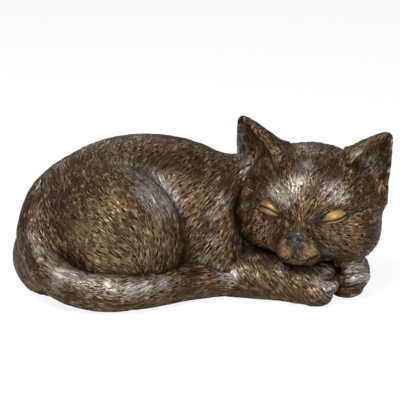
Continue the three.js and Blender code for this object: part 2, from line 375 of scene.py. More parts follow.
# %% Reading the photograph's places
def finder(pieces):
    """A function that gives the place on these pieces behind a pixel of the photograph, in millimetres."""
    trees = [BVHTree.FromObject(piece, bpy.context.evaluated_depsgraph_get()) for piece in pieces]
    turn = camera.rotation_euler.to_matrix()
    across = SENSOR / LENS / PICTURE

    def place(u, v):
        way = turn @ Vector(((u - PICTURE / 2) * across, (PICTURE / 2 - v) * across, -1))
        hits = [tree.ray_cast(camera.location, way) for tree in trees]
        hits = [hit for hit in hits if hit[0] is not None]
        if not hits:
            return None
        return np.array(min(hits, key=lambda hit: hit[3])[0]) / MM - SHIFT

    return place


# %% The comb
def comb_from(strokes, mirror=None):
    """The comb's way at any point near a surface, from strokes given as pairs of places.

    mirror is a pair (point, normal) of a plane, past which the same strokes are repeated."""
    places = np.array([(a + b) / 2 for a, b in strokes])
    ways = unit(np.array([b - a for a, b in strokes]))
    if mirror is not None:
        middle, out = mirror
        far = places - 2 * ((places - middle) @ out)[:, None] * out
        places = np.concatenate([places, far])
        ways = np.concatenate([ways, ways - 2 * (ways @ out)[:, None] * out])
    places, ways = places.astype(np.float32), ways.astype(np.float32)

    def way_at(p, normal, close=7.0):
        p = p.astype(np.float32)
        weight = 1 / (squares(p, places) + close**2) ** 2
        way = (weight @ ways).astype(float)
        way -= (way * normal).sum(1)[:, None] * normal
        return unit(way)

    return way_at


# %% Speckle and grooves
PRIMES = (73856093, 19349663, 83492791, 2971215073, 1274126177)  # they shuffle the cells' numbers


def speckle(p, size, seed):
    """Even random numbers on a grid of cells of that size, mixed smoothly between its corners."""
    q = p / size
    cell = np.floor(q).astype(np.int64)
    t = q - cell
    t = t * t * (3 - 2 * t)
    total = np.zeros(len(p))
    for corner in range(8):
        bits = np.array([corner & 1, corner >> 1 & 1, corner >> 2 & 1])
        x, y, z = (cell + bits).T
        h = (x * PRIMES[0]) ^ (y * PRIMES[1]) ^ (z * PRIMES[2]) ^ (seed * PRIMES[3])
        h = (h ^ (h >> 13)) * PRIMES[4] & 0xFFFFFFFF
        h = (h ^ (h >> 16)) & 0xFFFF
        total += h / 0xFFFF * np.where(bits, t, 1 - t).prod(1)
    return total


def grooves(p, normal, comb, way_there, width, length, seed, step):
    """Comb marks about as wide and as long as asked, from -1 to 1, mostly."""
    reach = int(length / 2 / step)
    total = speckle(p, width / 2, seed)
    for sense in (1, -1):
        q, way = p.copy(), way_there * sense
        for k in range(1, reach + 1):
            q = q + step * way
            total += speckle(q, width / 2, seed) * (1 - (k / (reach + 1)) ** 2)
            if k % 3 == 0 and k < reach:
                way = comb(q, normal) * sense
    total -= total.mean()
    return np.clip(total / (2 * total.std()), -1.3, 1.3)


# %% [markdown]
# ## Patches of straight hairs
#
# The finest hairs are thinner than the mesh can hold, so the paint draws them. Real tool marks are short
# and straight, and they come in overlapping patches. So the skin is shared out in patches, each with one
# way to run, and each point is told how far it lies across and along its patch's way. The third number
# fades to nothing at the patch's edge, where a second layer of patches takes over.

# %% Patches
FAR_CORNER = 1000  # mm, so that all cells have positive numbers
CELLS = 4096  # more than there are cells in a row
BATCH = 20000  # points handled at a time, to save memory
APART = 200  # mm, how far apart in the hairs' pattern two patches may read it


def patches(p, normal, way, size, seed):
    """For each point: the distance across and along its patch's hairs, and the patch's strength there."""
    cell = np.floor((p + FAR_CORNER + 0.37 * size * seed) / size).astype(np.int64)
    key = (cell[:, 0] * CELLS + cell[:, 1]) * CELLS + cell[:, 2]
    first = np.unique(key, return_index=True)[1]
    middles = p[first].astype(np.float32)
    nearest = np.empty((len(p), 2), np.int64)
    far = np.empty((len(p), 2))
    for start in range(0, len(p), BATCH):
        batch = slice(start, start + BATCH)
        q = p[batch].astype(np.float32)
        square = squares(q, middles)
        two = np.argpartition(square, 1, axis=1)[:, :2]
        near = np.sqrt(np.take_along_axis(square, two, 1))
        order = near.argsort(1)
        nearest[batch] = np.take_along_axis(two, order, 1)
        far[batch] = np.take_along_axis(near, order, 1)
    own = nearest[:, 0]
    along = way[first][own]
    across = unit(np.cross(normal[first][own], along))
    out = p - middles[own]
    shift = speckle(middles.astype(float), 3.1, seed)[own] * APART
    strength = ramp(far[:, 1] - far[:, 0], 0.2, 0.45 * size)
    return np.stack([(out * across).sum(1) + shift, (out * along).sum(1) + shift, strength], 1)


# %% [markdown]
# ## The kitten's forms
#
# These are the same forms as in the CAD source, in millimetres of the clay original: the body lies from
# left to right, with the haunch towards the viewer, and the head has a frame of its own, turned a little to
# its side.

# %% Forms of the body
HAUNCH = dict(at=(-61, -28, 46), radii=(49, 44, 53))
HEAD_HOLLOW = dict(at=(88, -36, 70), radii=(65, 50, 44))
trunk = blend(
    12,
    ball((-44, 13, 50), (94, 56, 70)),
    ball((-106, -2, 26), (44, 46, 38)),
    ball((-66, 32, 42), (58, 44, 50)),
)
breast = blend(20, ball((50, 16, 38), (54, 44, 44)), ball((50, 14, 66), (42, 36, 42)))
shoulders = blend(10, blend(16, trunk, breast), bone((10, -6, 74), (12, -22, 22), 20, 19))


CREASE_SHARP = 3
CREASE_WIDE = 28


def crease_softness(p):
    """The haunch's crease is sharp towards the chest, and fades out towards the rump and the top."""
    return CREASE_SHARP + (CREASE_WIDE - CREASE_SHARP) * ramp(-p[:, 0], 28, 72) * ramp(p[:, 2], 32, 68)


body_form = press(3, blend(crease_softness, shoulders, ball(**HAUNCH)), ball(**HEAD_HOLLOW))
print("haunch:", HAUNCH["radii"], "mm from its middle at", HAUNCH["at"])

# %% Forms of the head
HEAD_AT = np.array((84, -22, 70), float)
HEAD_TURN = (8, 5.5, -12)
head_spin = np.array(Euler([math.radians(a) for a in HEAD_TURN]).to_matrix())
face_form = blend(
    12,
    ball((0, 6, 8), (53.5, 45, 41)),
    *both(lambda s: ball((s * 31, -4, -9), (25, 30, 25))),
    *both(lambda s: ball((s * 41, 0, -17), (11.5, 18, 12))),
    ball((0, -14, -16), (30, 30, 19)),
    bone((0, -30, 12), (0, -43, -8), 12, 8.5),
)
sockets = blend(2, *both(lambda s: ball((s * 20, -47, 6), (13, 8, 9))))
head_form = blend(
    3,
    press(6, face_form, sockets),
    *both(lambda s: ball((s * 21, -32.5, 6.5), (12, 5.5, 6), (0, -s * 18, 0))),
    *both(lambda s: ball((s * 6.5, -42, -18.5), (11, 10.5, 9.5))),
    ball((0, -51, -9), (8, 4.5, 6.5)),
    ball((0, -39, -24.5), (9, 8, 6)),
)
print("head: at", HEAD_AT, "turned by", HEAD_TURN, "degrees")


# %% Forms of the ears
EARS = {
    -1: dict(inner=(-29.5, -7, 43), outer=(-57, 10, 13), tip=(-60.2, -3, 67.8)),
    1: dict(inner=(28, -7, 47), outer=(54.5, 10, 13), tip=(56.5, -3, 71)),
}
EAR_DEPTH = 17  # from the open front to the back, at the foot
EAR_LEAN = 6  # how far the hollow's back leans to the middle of the head
EAR_WALL = 6
EAR_TIP = 1.2


def ear_frame(side):
    """An ear's foot, the way up to its tip, the ways across and back, and half its foot's width."""
    inner, outer, tip = [np.array(EARS[side][k], float) for k in ("inner", "outer", "tip")]
    foot = (inner + outer) / 2
    across = outer - inner
    half = np.linalg.norm(across) / 2
    across = unit(across)
    back = unit(np.cross(across, tip - foot))
    if back[1] < 0:
        back = -back
    return foot, tip - foot, across, back, half


def ear_form(side):
    """A hollow cone, open to the front, with round lips. Each section is half an ellipse, evenly thick."""
    foot, up, across, back, half_foot = ear_frame(side)
    to_ear = np.linalg.inv(np.stack([up, across, back], 1))
    height = np.linalg.norm(up)

    def distance(p):
        t, x, y = ((p - foot) @ to_ear.T).T  # t is 0 at the foot and 1 at the tip
        narrow = np.where(t < 0, 1 + 1.5 * np.minimum(t, 0), np.clip(1 - t, 0, 1) ** 0.8)
        narrow = np.maximum(narrow, 0)
        half = half_foot * narrow + EAR_TIP
        deep = EAR_DEPTH * narrow + 1
        thick = np.minimum(EAR_WALL, 2 + 0.16 * half)
        x = x + EAR_LEAN * narrow * np.clip(y / deep, 0, 1)
        near = np.hypot(x / half, y / deep)
        slope = np.maximum(np.hypot(x / half**2, y / deep**2), TINY)
        band = np.abs(near * (near - 1) / slope)
        lips = np.hypot(np.abs(x) - half, y)
        wall = np.where(y > 0, band, lips) - thick / 2
        return np.maximum(wall, (t - 1) * height - 0.5)

    return distance


# %% Forms of the tail
TAIL = [
    ((-112, 6, 84), 8),
    ((-125, 2, 71), 11),
    ((-129.5, -15, 57), 13),
    ((-128.5, -31, 43), 14),
    ((-120, -48, 30), 14),
    ((-108, -58, 21.5), 14.5),
    ((-91, -66, 17), 14.5),
    ((-71, -69, 15.8), 14.8),
    ((-44, -61, 15.8), 14.8),
    ((-12, -41, 15), 14),
    ((14, -31, 14.5), 13.5),
    ((28, -31, 14), 12.5),
    ((35, -31.5, 13.5), 8),
]


def smooth_path(stations, steps=14):
    """A smooth curve through the stations, with the thickness at each of its points."""
    at = with_ends(np.array([p for p, r in stations], float))
    thick = np.array([r for p, r in stations], float)
    points, radii = [], []
    for i in range(len(stations) - 1):
        a, b, c, d = at[i : i + 4]
        ab, bc, cd = (np.linalg.norm(v) ** 0.5 for v in (b - a, c - b, d - c))
        leave = ((b - a) / ab - (c - a) / (ab + bc) + (c - b) / bc) * bc
        arrive = ((c - b) / bc - (d - b) / (bc + cd) + (d - c) / cd) * bc
        for t in np.arange(steps) / steps:
            bend = (2 * b - 2 * c + leave + arrive) * t**3 + (3 * c - 3 * b - 2 * leave - arrive) * t**2
            points.append(b + leave * t + bend)
            radii.append(thick[i] + (thick[i + 1] - thick[i]) * t)
    return np.array(points + [at[-2]]), np.array(radii + [thick[-1]])


tail_path, tail_radii = smooth_path(TAIL)
tail_steps = np.gradient(tail_path, axis=0)
tail_ways = unit(tail_steps)
tail_taper = np.gradient(tail_radii) / np.maximum(np.linalg.norm(tail_steps, axis=1), 0.1)
print("tail:", round(float(np.linalg.norm(np.diff(tail_path, axis=0), axis=1).sum())), "mm along its middle")


def tail_nearest(p, skip=7):
    """The nearest step of the tail's path to each point, found among every seventh step first."""
    around = squares(p, tail_path[::skip]).argmin(1)[:, None] * skip + np.arange(-skip, skip + 1)
    around = np.clip(around, 0, len(tail_path) - 1)
    square = ((p[:, None, :] - tail_path[around]) ** 2).sum(2)
    return np.take_along_axis(around, square.argmin(1)[:, None], 1)[:, 0]


def tail_form(p):
    """The tail, a round rod along its path, with a round root and a blunt end."""
    k = tail_nearest(p)
    out = p - tail_path[k]
    along = (out * tail_ways[k]).sum(1)
    round_off = np.linalg.norm(out - along[:, None] * tail_ways[k], axis=1)
    round_off -= tail_radii[k] + tail_taper[k] * along
    root = (k == 0) & (along < 0)
    round_off[root] = np.linalg.norm(out[root], axis=1) - tail_radii[0]
    end = (p - tail_path[-1]) @ tail_ways[-1] - 0.5
    return np.maximum(round_off, end) + fillet(7, round_off, end)


# %% Forms of the paws
near_leg_form = blend(
    3,
    blend(
        8,
        bone((40, -18, 26), (62, -32, 22), 16, 14),
        bone((22, -26, 15), (72, -41, 15), 16.5, 15),
        ball((81, -43, 15), (18, 17, 16.5)),
    ),
    ball((92, -39, 23), (12, 9, 8)),
    ball((96, -49, 16), (10, 8.5, 8)),
    ball((88, -55, 9), (13, 9, 9)),
)
far_paw_form = blend(
    3,
    blend(5, bone((92, 6, 18), (112, -14, 17), 16, 15), ball((116, -22, 18), (16, 17, 18))),
    ball((113, -33, 30), (13, 10, 7)),
    ball((117, -37, 18), (14, 9, 8)),
    ball((113, -34, 8), (13, 10, 7)),
)

# %% [markdown]
# ## Copies of the castings
#
# All five castings are copied before any of them is sculpted, so that a pixel of the photograph can be
# looked up on the whole figure.

# %% Copies and the finder
CASTINGS = {
    "body": "body_casting",
    "head": "head_casting",
    "tail": "tail_casting",
    "near_foreleg": "near_foreleg_casting",
    "far_forepaw": "far_forepaw_casting",
}
pieces = {name: casting_copy(node, name) for name, node in CASTINGS.items()}
seen_at = finder(pieces.values())
head_seen_at = finder([pieces["head"]])
print("nose at", seen_at(295, 240).round(1))


LONGEST_STROKE = 16  # mm; a longer one has jumped from one form to another


def strokes_at(pixels, place=seen_at):
    """Comb strokes as pairs of places in mm. Each is a pixel of the photograph and the way on from it."""
    found = [(place(u, v), place(u + du, v + dv)) for u, v, du, dv in pixels]
    found = [(a, b) for a, b in found if a is not None and b is not None]
    kept = [(a, b) for a, b in found if np.linalg.norm(b - a) < LONGEST_STROKE]
    print("comb strokes:", len(kept), "of", len(pixels))
    return kept


# %% [markdown]
# ## The fur's grooves
#
# Each casting is finished in the same way once its skin is laid: the comb's marks are worked out, the skin
# is moved in and out by them, and the marks are kept for the paint. Two combs are used, a broad one that
# parts the fur into locks and a fine one for the tool's marks, about 2 mm apart as on the real figure. The
# mesh can't hold the finest hairs, so the paint adds them.

# %% Comb a piece
LOCK = dict(width=4.2, length=18, seed=11, step=1.5)
HAIR = dict(width=1.7, length=9, seed=23, step=0.8)
PATCH = 9  # mm across
COMB_DEPTH = 0.26  # mm, for each comb


def comb_piece(piece, skin, comb, bare=0.0):
    """Combs the skin of a piece. bare is 0 for fur and 1 where the skin stays smooth."""
    p, normal = points_of(piece), normals_of(piece)
    way = np.zeros_like(p)
    way[skin] = comb(p[skin], normal[skin])
    fur = skin * (1 - bare)
    lock, hair = np.zeros(len(p)), np.zeros(len(p))
    lock[skin] = grooves(p[skin], normal[skin], comb, way[skin], **LOCK)
    hair[skin] = grooves(p[skin], normal[skin], comb, way[skin], **HAIR)
    for layer in (1, 2):
        store(piece, f"patch_{layer}", patches(p, normal, way, PATCH, layer))
    store(piece, "hair", 0.5 + 0.5 * np.clip(hair, -1, 1) * fur)
    store(piece, "lock", 0.5 + 0.5 * np.clip(lock, -1, 1) * fur)
    p += (COMB_DEPTH * fur * (lock + hair))[:, None] * normal
    p[:, 2] = np.maximum(p[:, 2], GROUND)
    move_points(piece, p)
    only(piece)
    bpy.ops.object.shade_smooth()


# %% [markdown]
# ## Dabs of paint, painted highlights and painted shade
#
# Dry-brushing leaves silver and gold only where the brush passed. The silver dabs also paint the highlights
# where the light falls on the tops, and the dark dabs are painted shade in hollows, folds and under the
# head. Each dab is a pixel of the photograph, a radius in pixels and a strength, and it is found again on
# the casting, so that it also sits right from other sides.

# %% Dab a piece
PIXEL_MM = 0.79  # on the figure
DAB_FALL = 1.4  # how quickly a dab fades towards its radius


def dabbed(p, marks):
    """How much of a paint each point gets from its dabs, 0 to 1."""
    bare = np.ones(len(p))
    for middle, radius, strength in marks:
        far = np.linalg.norm(p - middle, axis=1) / radius
        bare *= 1 - strength * np.exp(-DAB_FALL * far**2)
    return 1 - bare


DABS = {}
# Silver paste from the dry brush, and painted highlights on the lit tops of the haunch, tail, brow and ears.
DABS["silver_and_highlight"] = [
    (160, 185, 14, 0.9), (150, 178, 10, 0.5), (169, 200, 12, 1.0), (152, 200, 13, 0.6), (142, 190, 10, 0.4),
    (160, 215, 12, 0.25), (50, 262, 9, 0.5), (60, 273, 10, 0.9), (75, 274, 10, 0.8), (90, 280, 12, 0.7),
    (110, 286, 12, 0.8), (130, 289, 10, 0.9), (146, 287, 9, 0.9), (163, 282, 9, 0.7), (179, 281, 7, 0.2),
    (40, 250, 9, 0.6), (55, 285, 9, 0.4), (40, 215, 10, 0.4), (45, 188, 12, 0.35), (33, 236, 9, 0.45),
    (60, 168, 12, 0.3), (90, 146, 14, 0.3), (140, 138, 14, 0.2), (232, 277, 9, 0.85), (222, 273, 8, 0.6),
    (205, 262, 10, 0.25), (216, 215, 9, 0.45), (222, 200, 8, 0.35), (212, 240, 8, 0.35),
    (290, 190, 12, 0.8), (275, 193, 9, 0.7), (300, 181, 9, 0.6), (285, 201, 8, 0.5), (329, 190, 10, 0.45),
    (339, 186, 8, 0.4), (343, 198, 7, 0.7), (336, 199, 6, 0.4), (305, 147, 14, 0.35), (306, 165, 9, 0.45),
    (312, 152, 9, 0.3), (241, 136, 6, 1.0), (240.5, 145, 6, 1.0), (241, 127, 5, 0.5), (241, 155, 6, 1.0),
    (243, 163, 6, 0.9), (247, 168, 5, 0.7), (251, 160, 7, 0.5), (172, 212, 12, 0.45), (157, 193, 12, 0.5),
    (138, 174, 14, 0.35), (124, 164, 14, 0.3), (328, 292, 8, 0.8), (364, 270, 11, 0.9), (391, 141, 4, 0.9),
    (392, 149, 4, 0.9), (390, 160, 4, 0.8), (388, 170, 4, 0.5), (358, 154, 6, 0.8), (361, 162, 7, 0.8),
    (374, 158, 9, 0.4), (366, 170, 8, 0.5), (245, 205, 8, 0.3), (246, 190, 8, 0.3), (334, 286, 6, 0.8),
    (326, 273, 8, 0.5), (314, 276, 8, 0.45), (322, 283, 8, 0.5), (357, 274, 10, 0.6), (283, 270, 7, 0.35),
    (369, 262, 7, 0.8), (369, 277, 7, 0.6), (352, 269, 7, 0.6), (352, 281, 6, 0.5), (328, 250, 8, 0.2),
]
DABS["gold"] = [
    (100, 215, 20, 0.45), (80, 216, 15, 0.6), (110, 200, 14, 0.5), (98, 240, 18, 0.5), (120, 263, 13, 0.9),
    (142, 259, 12, 0.7), (100, 262, 10, 0.7), (150, 237, 14, 0.45), (128, 238, 13, 0.25),
    (75, 236, 13, 0.5), (165, 240, 12, 0.4), (185, 183, 9, 0.6), (190, 199, 12, 0.6), (179, 175, 8, 0.5),
    (201, 187, 9, 0.55), (194, 216, 9, 0.55), (190, 228, 7, 0.5), (204, 205, 9, 0.4), (225, 232, 10, 0.3),
    (229, 215, 8, 0.3), (262, 226, 9, 0.8), (257, 234, 8, 0.7), (267, 240, 8, 0.6), (340, 231, 12, 0.6),
    (352, 226, 9, 0.5), (330, 228, 8, 0.45), (357, 239, 10, 0.35), (370, 148, 8, 0.6), (378, 165, 9, 0.5),
    (252, 150, 8, 0.5), (287, 251, 9, 0.9), (308, 250, 10, 0.9), (297, 262, 9, 0.7), (296, 216, 8, 0.35),
    (305, 206, 9, 0.35), (320, 203, 8, 0.45), (245, 268, 9, 0.7), (262, 277, 12, 0.4), (279, 280, 12, 0.5),
    (300, 285, 12, 0.4), (316, 292, 9, 0.8), (321, 284, 8, 0.6), (297, 268, 8, 0.5), (35, 288, 11, 0.6),
    (26, 274, 9, 0.3), (21, 246, 5, 0.5), (262, 138, 5, 0.4), (246, 170, 6, 0.8), (256, 167, 6, 0.6),
    (268, 145, 4, 0.4), (348, 158, 2.5, 1.0), (353, 153.5, 2.5, 1.0), (358, 149, 2.5, 1.0),
    (363, 145, 2.5, 1.0), (368, 141.5, 2.5, 1.0), (374, 138, 3, 0.9), (371, 176, 9, 0.45),
    (377, 190, 7, 0.6), (388, 172, 6, 0.6), (383, 187, 6, 0.7), (98, 300, 13, 0.3), (352, 292, 7, 0.4),
    (344, 262, 6, 0.3),
]
# Painted shade: in hollows, round the eyes, between the head and the body, along the bottom and over the
# back's top.
DABS["dark"] = [
    (184, 256, 9, 1.0), (188, 240, 5, 0.6), (240, 222, 9, 1.0), (242, 236, 8, 1.0), (244, 246, 9, 1.0),
    (254, 250, 8, 1.0), (263, 250, 6, 0.8), (272, 252, 6, 0.8), (239, 205, 6, 0.7), (282, 216, 6, 0.8),
    (283, 226, 6, 0.7), (279, 236, 7, 0.7), (275, 246, 6, 0.5), (316, 226, 6, 0.8), (258, 203, 4, 0.5),
    (322, 216, 5, 0.5), (318, 238, 7, 0.6), (321, 248, 7, 0.5), (325, 256, 9, 0.9), (340, 257, 8, 0.6),
    (311, 232, 5, 0.6), (323, 210, 6, 0.35), (346, 205, 7, 0.4), (356, 212, 8, 0.35), (250, 200, 8, 0.5),
    (249, 215, 7, 0.6), (252, 235, 6, 0.5), (48, 228, 6, 0.5), (60, 250, 7, 0.6), (68, 255, 6, 0.5),
    (82, 263, 6, 0.4), (262, 152, 8, 0.3), (256, 138, 6, 0.2), (349, 163, 4, 0.5), (345, 172, 7, 0.3),
    (270, 262, 8, 0.6), (286, 265, 6, 0.5), (325, 172, 14, 0.3), (290, 165, 12, 0.2), (262, 180, 12, 0.4),
    (300, 172, 8, 0.2), (246, 280, 4, 0.8), (338, 268, 4, 0.9), (338, 280, 4, 0.9), (120, 222, 8, 0.25),
    (150, 160, 26, 0.35), (190, 165, 18, 0.4), (110, 155, 18, 0.2), (228, 188, 10, 0.4), (236, 212, 6, 0.6),
    (368, 228, 10, 0.3), (372, 240, 8, 0.4), (374, 252, 5, 0.7), (372, 290, 6, 0.3), (22.5, 247, 2.2, 1.0),
    (75, 296, 10, 0.4), (150, 294, 8, 0.3), (190, 284, 12, 0.45), (215, 288, 8, 0.3), (270, 292, 10, 0.3),
]
dabs = {}
for paint, pixels in DABS.items():
    found = [(seen_at(u, v), r * PIXEL_MM, s) for u, v, r, s in pixels]
    dabs[paint] = [dab for dab in found if dab[0] is not None]
    print(paint, "dabs:", len(dabs[paint]))


def paint_piece(piece, fold_shade):
    """Keeps the paint on a piece: what the brush left, painted highlights in the silver, and painted shade
    in the dark. The fold's painted shade is 1 in a fold, where it darkens the wash.
    """
    shares = {paint: dabbed(points_of(piece), dabs[paint]) for paint in dabs}
    # painted shade in the folds joins the dark dabs' painted shade
    shares["dark"] = 1 - (1 - shares["dark"]) * (1 - fold_shade)
    for paint, share in shares.items():
        store(piece, paint, share)


# %% [markdown]
# ## The body
#
# The body and the haunch are one hollow casting. Only what shows is made fine: the skin under the head
# keeps larger squares. At its root the tail grows out of the rump without a seam, so there the body's skin
# swells to meet it, as the filler does on the real figure.

# %% Lay the body's skin
BODY_SQUARE = 2.3
SEAM_SOFT = 2.5
ROOT_SOFT = 17.5
ROOT_LOW = 46  # the fillet widens between these heights, in mm, and a little lower further left
ROOT_HIGH = 78
UNDER_HEAD = 2  # the body's skin this near the head's hollow stays coarse
UNDER_TAIL = 4  # and so does what lies this deep under the tail


def root_softness(p):
    """The tail's fillet against the body: wide at its root, narrow further down."""
    root = ramp(p[:, 2] - 0.15 * p[:, 0], ROOT_LOW, ROOT_HIGH)
    return SEAM_SOFT + (ROOT_SOFT - SEAM_SOFT) * root


def with_neighbour(form, neighbour, softness):
    """A form that swells to meet its neighbour, on its own side of the seam."""

    def distance(p):
        d, e = form(p), neighbour(p)
        return d - fillet(softness(p), d, e) * ramp(e - d, -3, -1)

    return distance


def subdivide(piece, chosen):
    """Cuts each square with all its corners chosen into four."""
    only(piece)
    bpy.ops.object.mode_set(mode="EDIT")
    bpy.ops.mesh.select_mode(type="VERT")
    bpy.ops.mesh.select_all(action="DESELECT")
    bpy.ops.object.mode_set(mode="OBJECT")
    piece.data.vertices.foreach_set("select", chosen)
    bpy.ops.object.mode_set(mode="EDIT")
    bpy.ops.mesh.select_mode(type="FACE")
    bpy.ops.mesh.subdivide(number_cuts=1)
    bpy.ops.object.mode_set(mode="OBJECT")


body = pieces["body"]
body_skin_form = with_neighbour(body_form, tail_form, root_softness)
remesh(body, BODY_SQUARE)
lay_skin(body, body_skin_form, rounds=2, cast=body_form)
p = points_of(body)
under_others = (ball(**HEAD_HOLLOW)(p) < UNDER_HEAD) | (tail_form(p) <= -UNDER_TAIL)
subdivide(body, (np.abs(body_skin_form(p)) < RIM) & ~under_others)
body_skin = lay_skin(body, body_skin_form)
print("body:", len(body.data.vertices), "points,", int(body_skin.sum()), "on its skin")

# %% Comb and paint the body
BODY_COMB = [
    (150, 145, -6, 5), (175, 148, -7, 5), (200, 153, -7, 6), (225, 162, -8, 5), (145, 160, -6, 5),
    (165, 165, -6, 5), (185, 170, -7, 4), (205, 175, -7, 5), (185, 190, -8, 4), (200, 195, -7, 5),
    (197, 215, -6, 4), (206, 215, -5, 8), (200, 235, -5, 6), (215, 195, -5, 7), (216, 225, -4, 7),
    (208, 245, -5, 6), (228, 178, -5, 8), (229, 200, -5, 8), (226, 220, -5, 8), (222, 240, -6, 8),
    (125, 142, -5, 7), (105, 145, -3, 8), (110, 158, 0, 8), (85, 152, -1, 8), (65, 166, 0, 9),
    (100, 170, 5, 7), (75, 185, 5, 7), (55, 195, 4, 8), (90, 195, 7, 6), (70, 215, 7, 6), (90, 220, 7, 5),
    (110, 200, 7, 6), (120, 220, 7, 7), (95, 240, 8, 5), (75, 242, 7, 7), (115, 245, 8, 5),
    (110, 260, 8, 4), (135, 195, 6, 8), (150, 195, 5, 8), (165, 200, 3, 8), (145, 220, 4, 8),
    (165, 225, 1, 8), (180, 225, 0, 8), (150, 245, 1, 8), (165, 248, -2, 7), (140, 180, 8, 5),
    (130, 170, 8, 4), (155, 181, 7, 6), (40, 198, 2, 9), (30, 215, 2, 9), (45, 215, 3, 9), (60, 235, 5, 8),
    (18, 255, 2, 8), (22, 272, 6, 8), (35, 285, 7, 6), (250, 262, 6, 5), (265, 262, 7, 4), (240, 250, 3, 7),
]
BODY_MIDDLE = (np.array((-44, 13, 50), float), np.array((0, 1.0, 0)))  # a point of the plane, its normal


def fold(width, d, e):
    """1 where two forms meet and 0 where their distances differ by the width, in millimetres."""
    return fillet(width, d, e) / (width / 4)


comb_piece(body, body_skin, comb_from(strokes_at(BODY_COMB), BODY_MIDDLE))
p = points_of(body)
# painted shade in the haunch's fold and where the tail meets the body, over the dark wash
haunch_fold_shade = fold(9, shoulders(p), ball(**HAUNCH)(p)) * ramp(p[:, 0], -75, -35)
tail_fold_shade = fold(7, body_form(p), tail_form(p)) * (1 - ramp(root_softness(p), 6, 14))
paint_piece(body, np.clip(np.maximum(haunch_fold_shade, tail_fold_shade), 0, 1))

# %% [markdown]
# ## Places in the picture
#
# The face has to sit exactly as in the photograph. Its lids, nose and mouth are outlines in the
# photograph's pixels, and each point of the mesh is looked up in the same picture.

# %% Pixels, lines and outlines
def pixels_of(p):
    """Where points, in millimetres of the clay original, lie in the picture."""
    turn = np.array(camera.rotation_euler.to_matrix())
    q = ((p + SHIFT) * MM - np.array(camera.location)) @ turn
    return q[:, :2] / -q[:, 2:] * (LENS / SENSOR * PICTURE) * (1, -1) + PICTURE / 2


def line_distance(uv, line):
    """How far points lie from a broken line, in pixels."""
    line = np.array(line, float)
    near = np.full(len(uv), np.inf)
    for a, b in zip(line[:-1], line[1:]):
        t = np.clip((uv - a) @ (b - a) / ((b - a) @ (b - a)), 0, 1)
        near = np.minimum(near, np.linalg.norm(uv - a - t[:, None] * (b - a), axis=1))
    return near


def rounded(line, steps=5):
    """A smooth line through the points of a broken one."""
    at = with_ends(np.array(line, float))
    points = []
    for a, b, c, d in zip(at[:-3], at[1:-2], at[2:-1], at[3:]):
        for t in np.arange(steps) / steps:
            bend = (2 * a - 5 * b + 4 * c - d) * t**2 + (3 * b - a - 3 * c + d) * t**3
            points.append(b + 0.5 * ((c - a) * t + bend))
    return np.array(points + [at[-2]])


def depth_inside(uv, outline):
    """How deep points lie inside a closed outline, in pixels, negative outside."""
    ring = np.array(list(outline) + [outline[0]], float)
    inside = np.zeros(len(uv), bool)
    for (x0, y0), (x1, y1) in zip(ring[:-1], ring[1:]):
        crosses = (y0 > uv[:, 1]) != (y1 > uv[:, 1])
        if y1 != y0:
            inside ^= crosses & (uv[:, 0] < x0 + (uv[:, 1] - y0) * (x1 - x0) / (y1 - y0))
    return np.where(inside, 1, -1) * line_distance(uv, ring)


# %% [markdown]
# ## The head
#
# The closed lids are smooth and lie in a crisp fold, the nose is a bare pad with two nostrils, and the lip
# has a cleft below it. Around them the skin is cut finer, because the lines are less than a millimetre
# wide.

# %% Lines of the face
ROUND_LINES = {
    "right slit": [
        (317.5, 223.6), (322, 222.4), (327, 221.9), (333, 221.2), (338, 219.8), (343, 217.4), (348.5, 213),
    ],
    "right lid": [
        (319.5, 222.5), (324, 217.5), (328.5, 213), (334, 210), (340, 209.3), (345, 211), (348, 213.5),
    ],
    "right under": [(319, 224), (325, 224.4), (332, 223.9), (339, 222), (344.5, 219), (348.5, 213.6)],
    "left slit": [(257, 206.2), (262, 206.6), (267, 208.4), (272, 210.9), (276, 213), (279.5, 215)],
    "left lid": [
        (257.5, 205.5), (260.5, 201), (265.5, 199.2), (270.5, 201.4), (275, 206), (278, 210.5),
        (279.2, 214.5),
    ],
    "left under": [(257, 206.8), (260, 210.5), (265, 213.6), (271, 215.6), (276, 216.3), (279.5, 215.1)],
    "nose": [
        (284.5, 235), (286.5, 232.4), (291, 231.3), (296, 231.4), (301, 232.2), (303.8, 235.5),
        (303.6, 239.5), (301, 243.5), (297, 246.6), (294, 247.8), (291, 245.8), (288, 241.5), (285.3, 238),
    ],
    "mouth": [(278.5, 257), (285, 260.3), (293.8, 259.2), (301, 261.2), (309.5, 260.2), (317.5, 255.6)],
    "chin": [(284, 261.5), (290, 265), (297, 266.3), (304, 264.3), (309, 261)],
}
LINES = {name: rounded(line) for name, line in ROUND_LINES.items()}
LINES["right nostril"] = [(287, 239.6), (288.6, 237.8), (290.3, 238.4)]
LINES["left nostril"] = [(300.5, 240.6), (298.8, 238.8), (297.2, 239.6)]
LINES["cleft"] = [(294.3, 247), (295.4, 250), (294.8, 254), (293.9, 259)]
LINES["corner"] = [(317.2, 224.2), (321, 223.6), (326, 222.8)]
CLEFT_SKIN = [  # the bare strip from the nose down into the cleft
    (293, 246), (297.5, 246), (298, 248.5), (296.8, 251), (295.6, 254), (294.4, 254), (293.8, 250),
]
LIPS = [((284.5, 251), 10), ((310.5, 249.5), 11.5)]  # the upper lip's round halves, with their radii
print("lines of the face:", len(LINES))
LIP_RISE = 1.2  # this and the next three in mm
LID_RISE = 0.8
UNDER_RISE = 0.4
NOSE_RISE = 0.7
CARVED = [  # a line, how deep it is cut in mm, and how wide in pixels
    ("right lid", 0.4, 1.1), ("left lid", 0.4, 1.1), ("right slit", 1.1, 0.8), ("left slit", 1.0, 0.75),
    ("nose", 0.4, 0.7), ("right nostril", 1.5, 1.1), ("left nostril", 1.5, 1.1), ("cleft", 1.2, 0.9),
    ("mouth", 1.1, 0.9), ("chin", 0.5, 1.0),
]
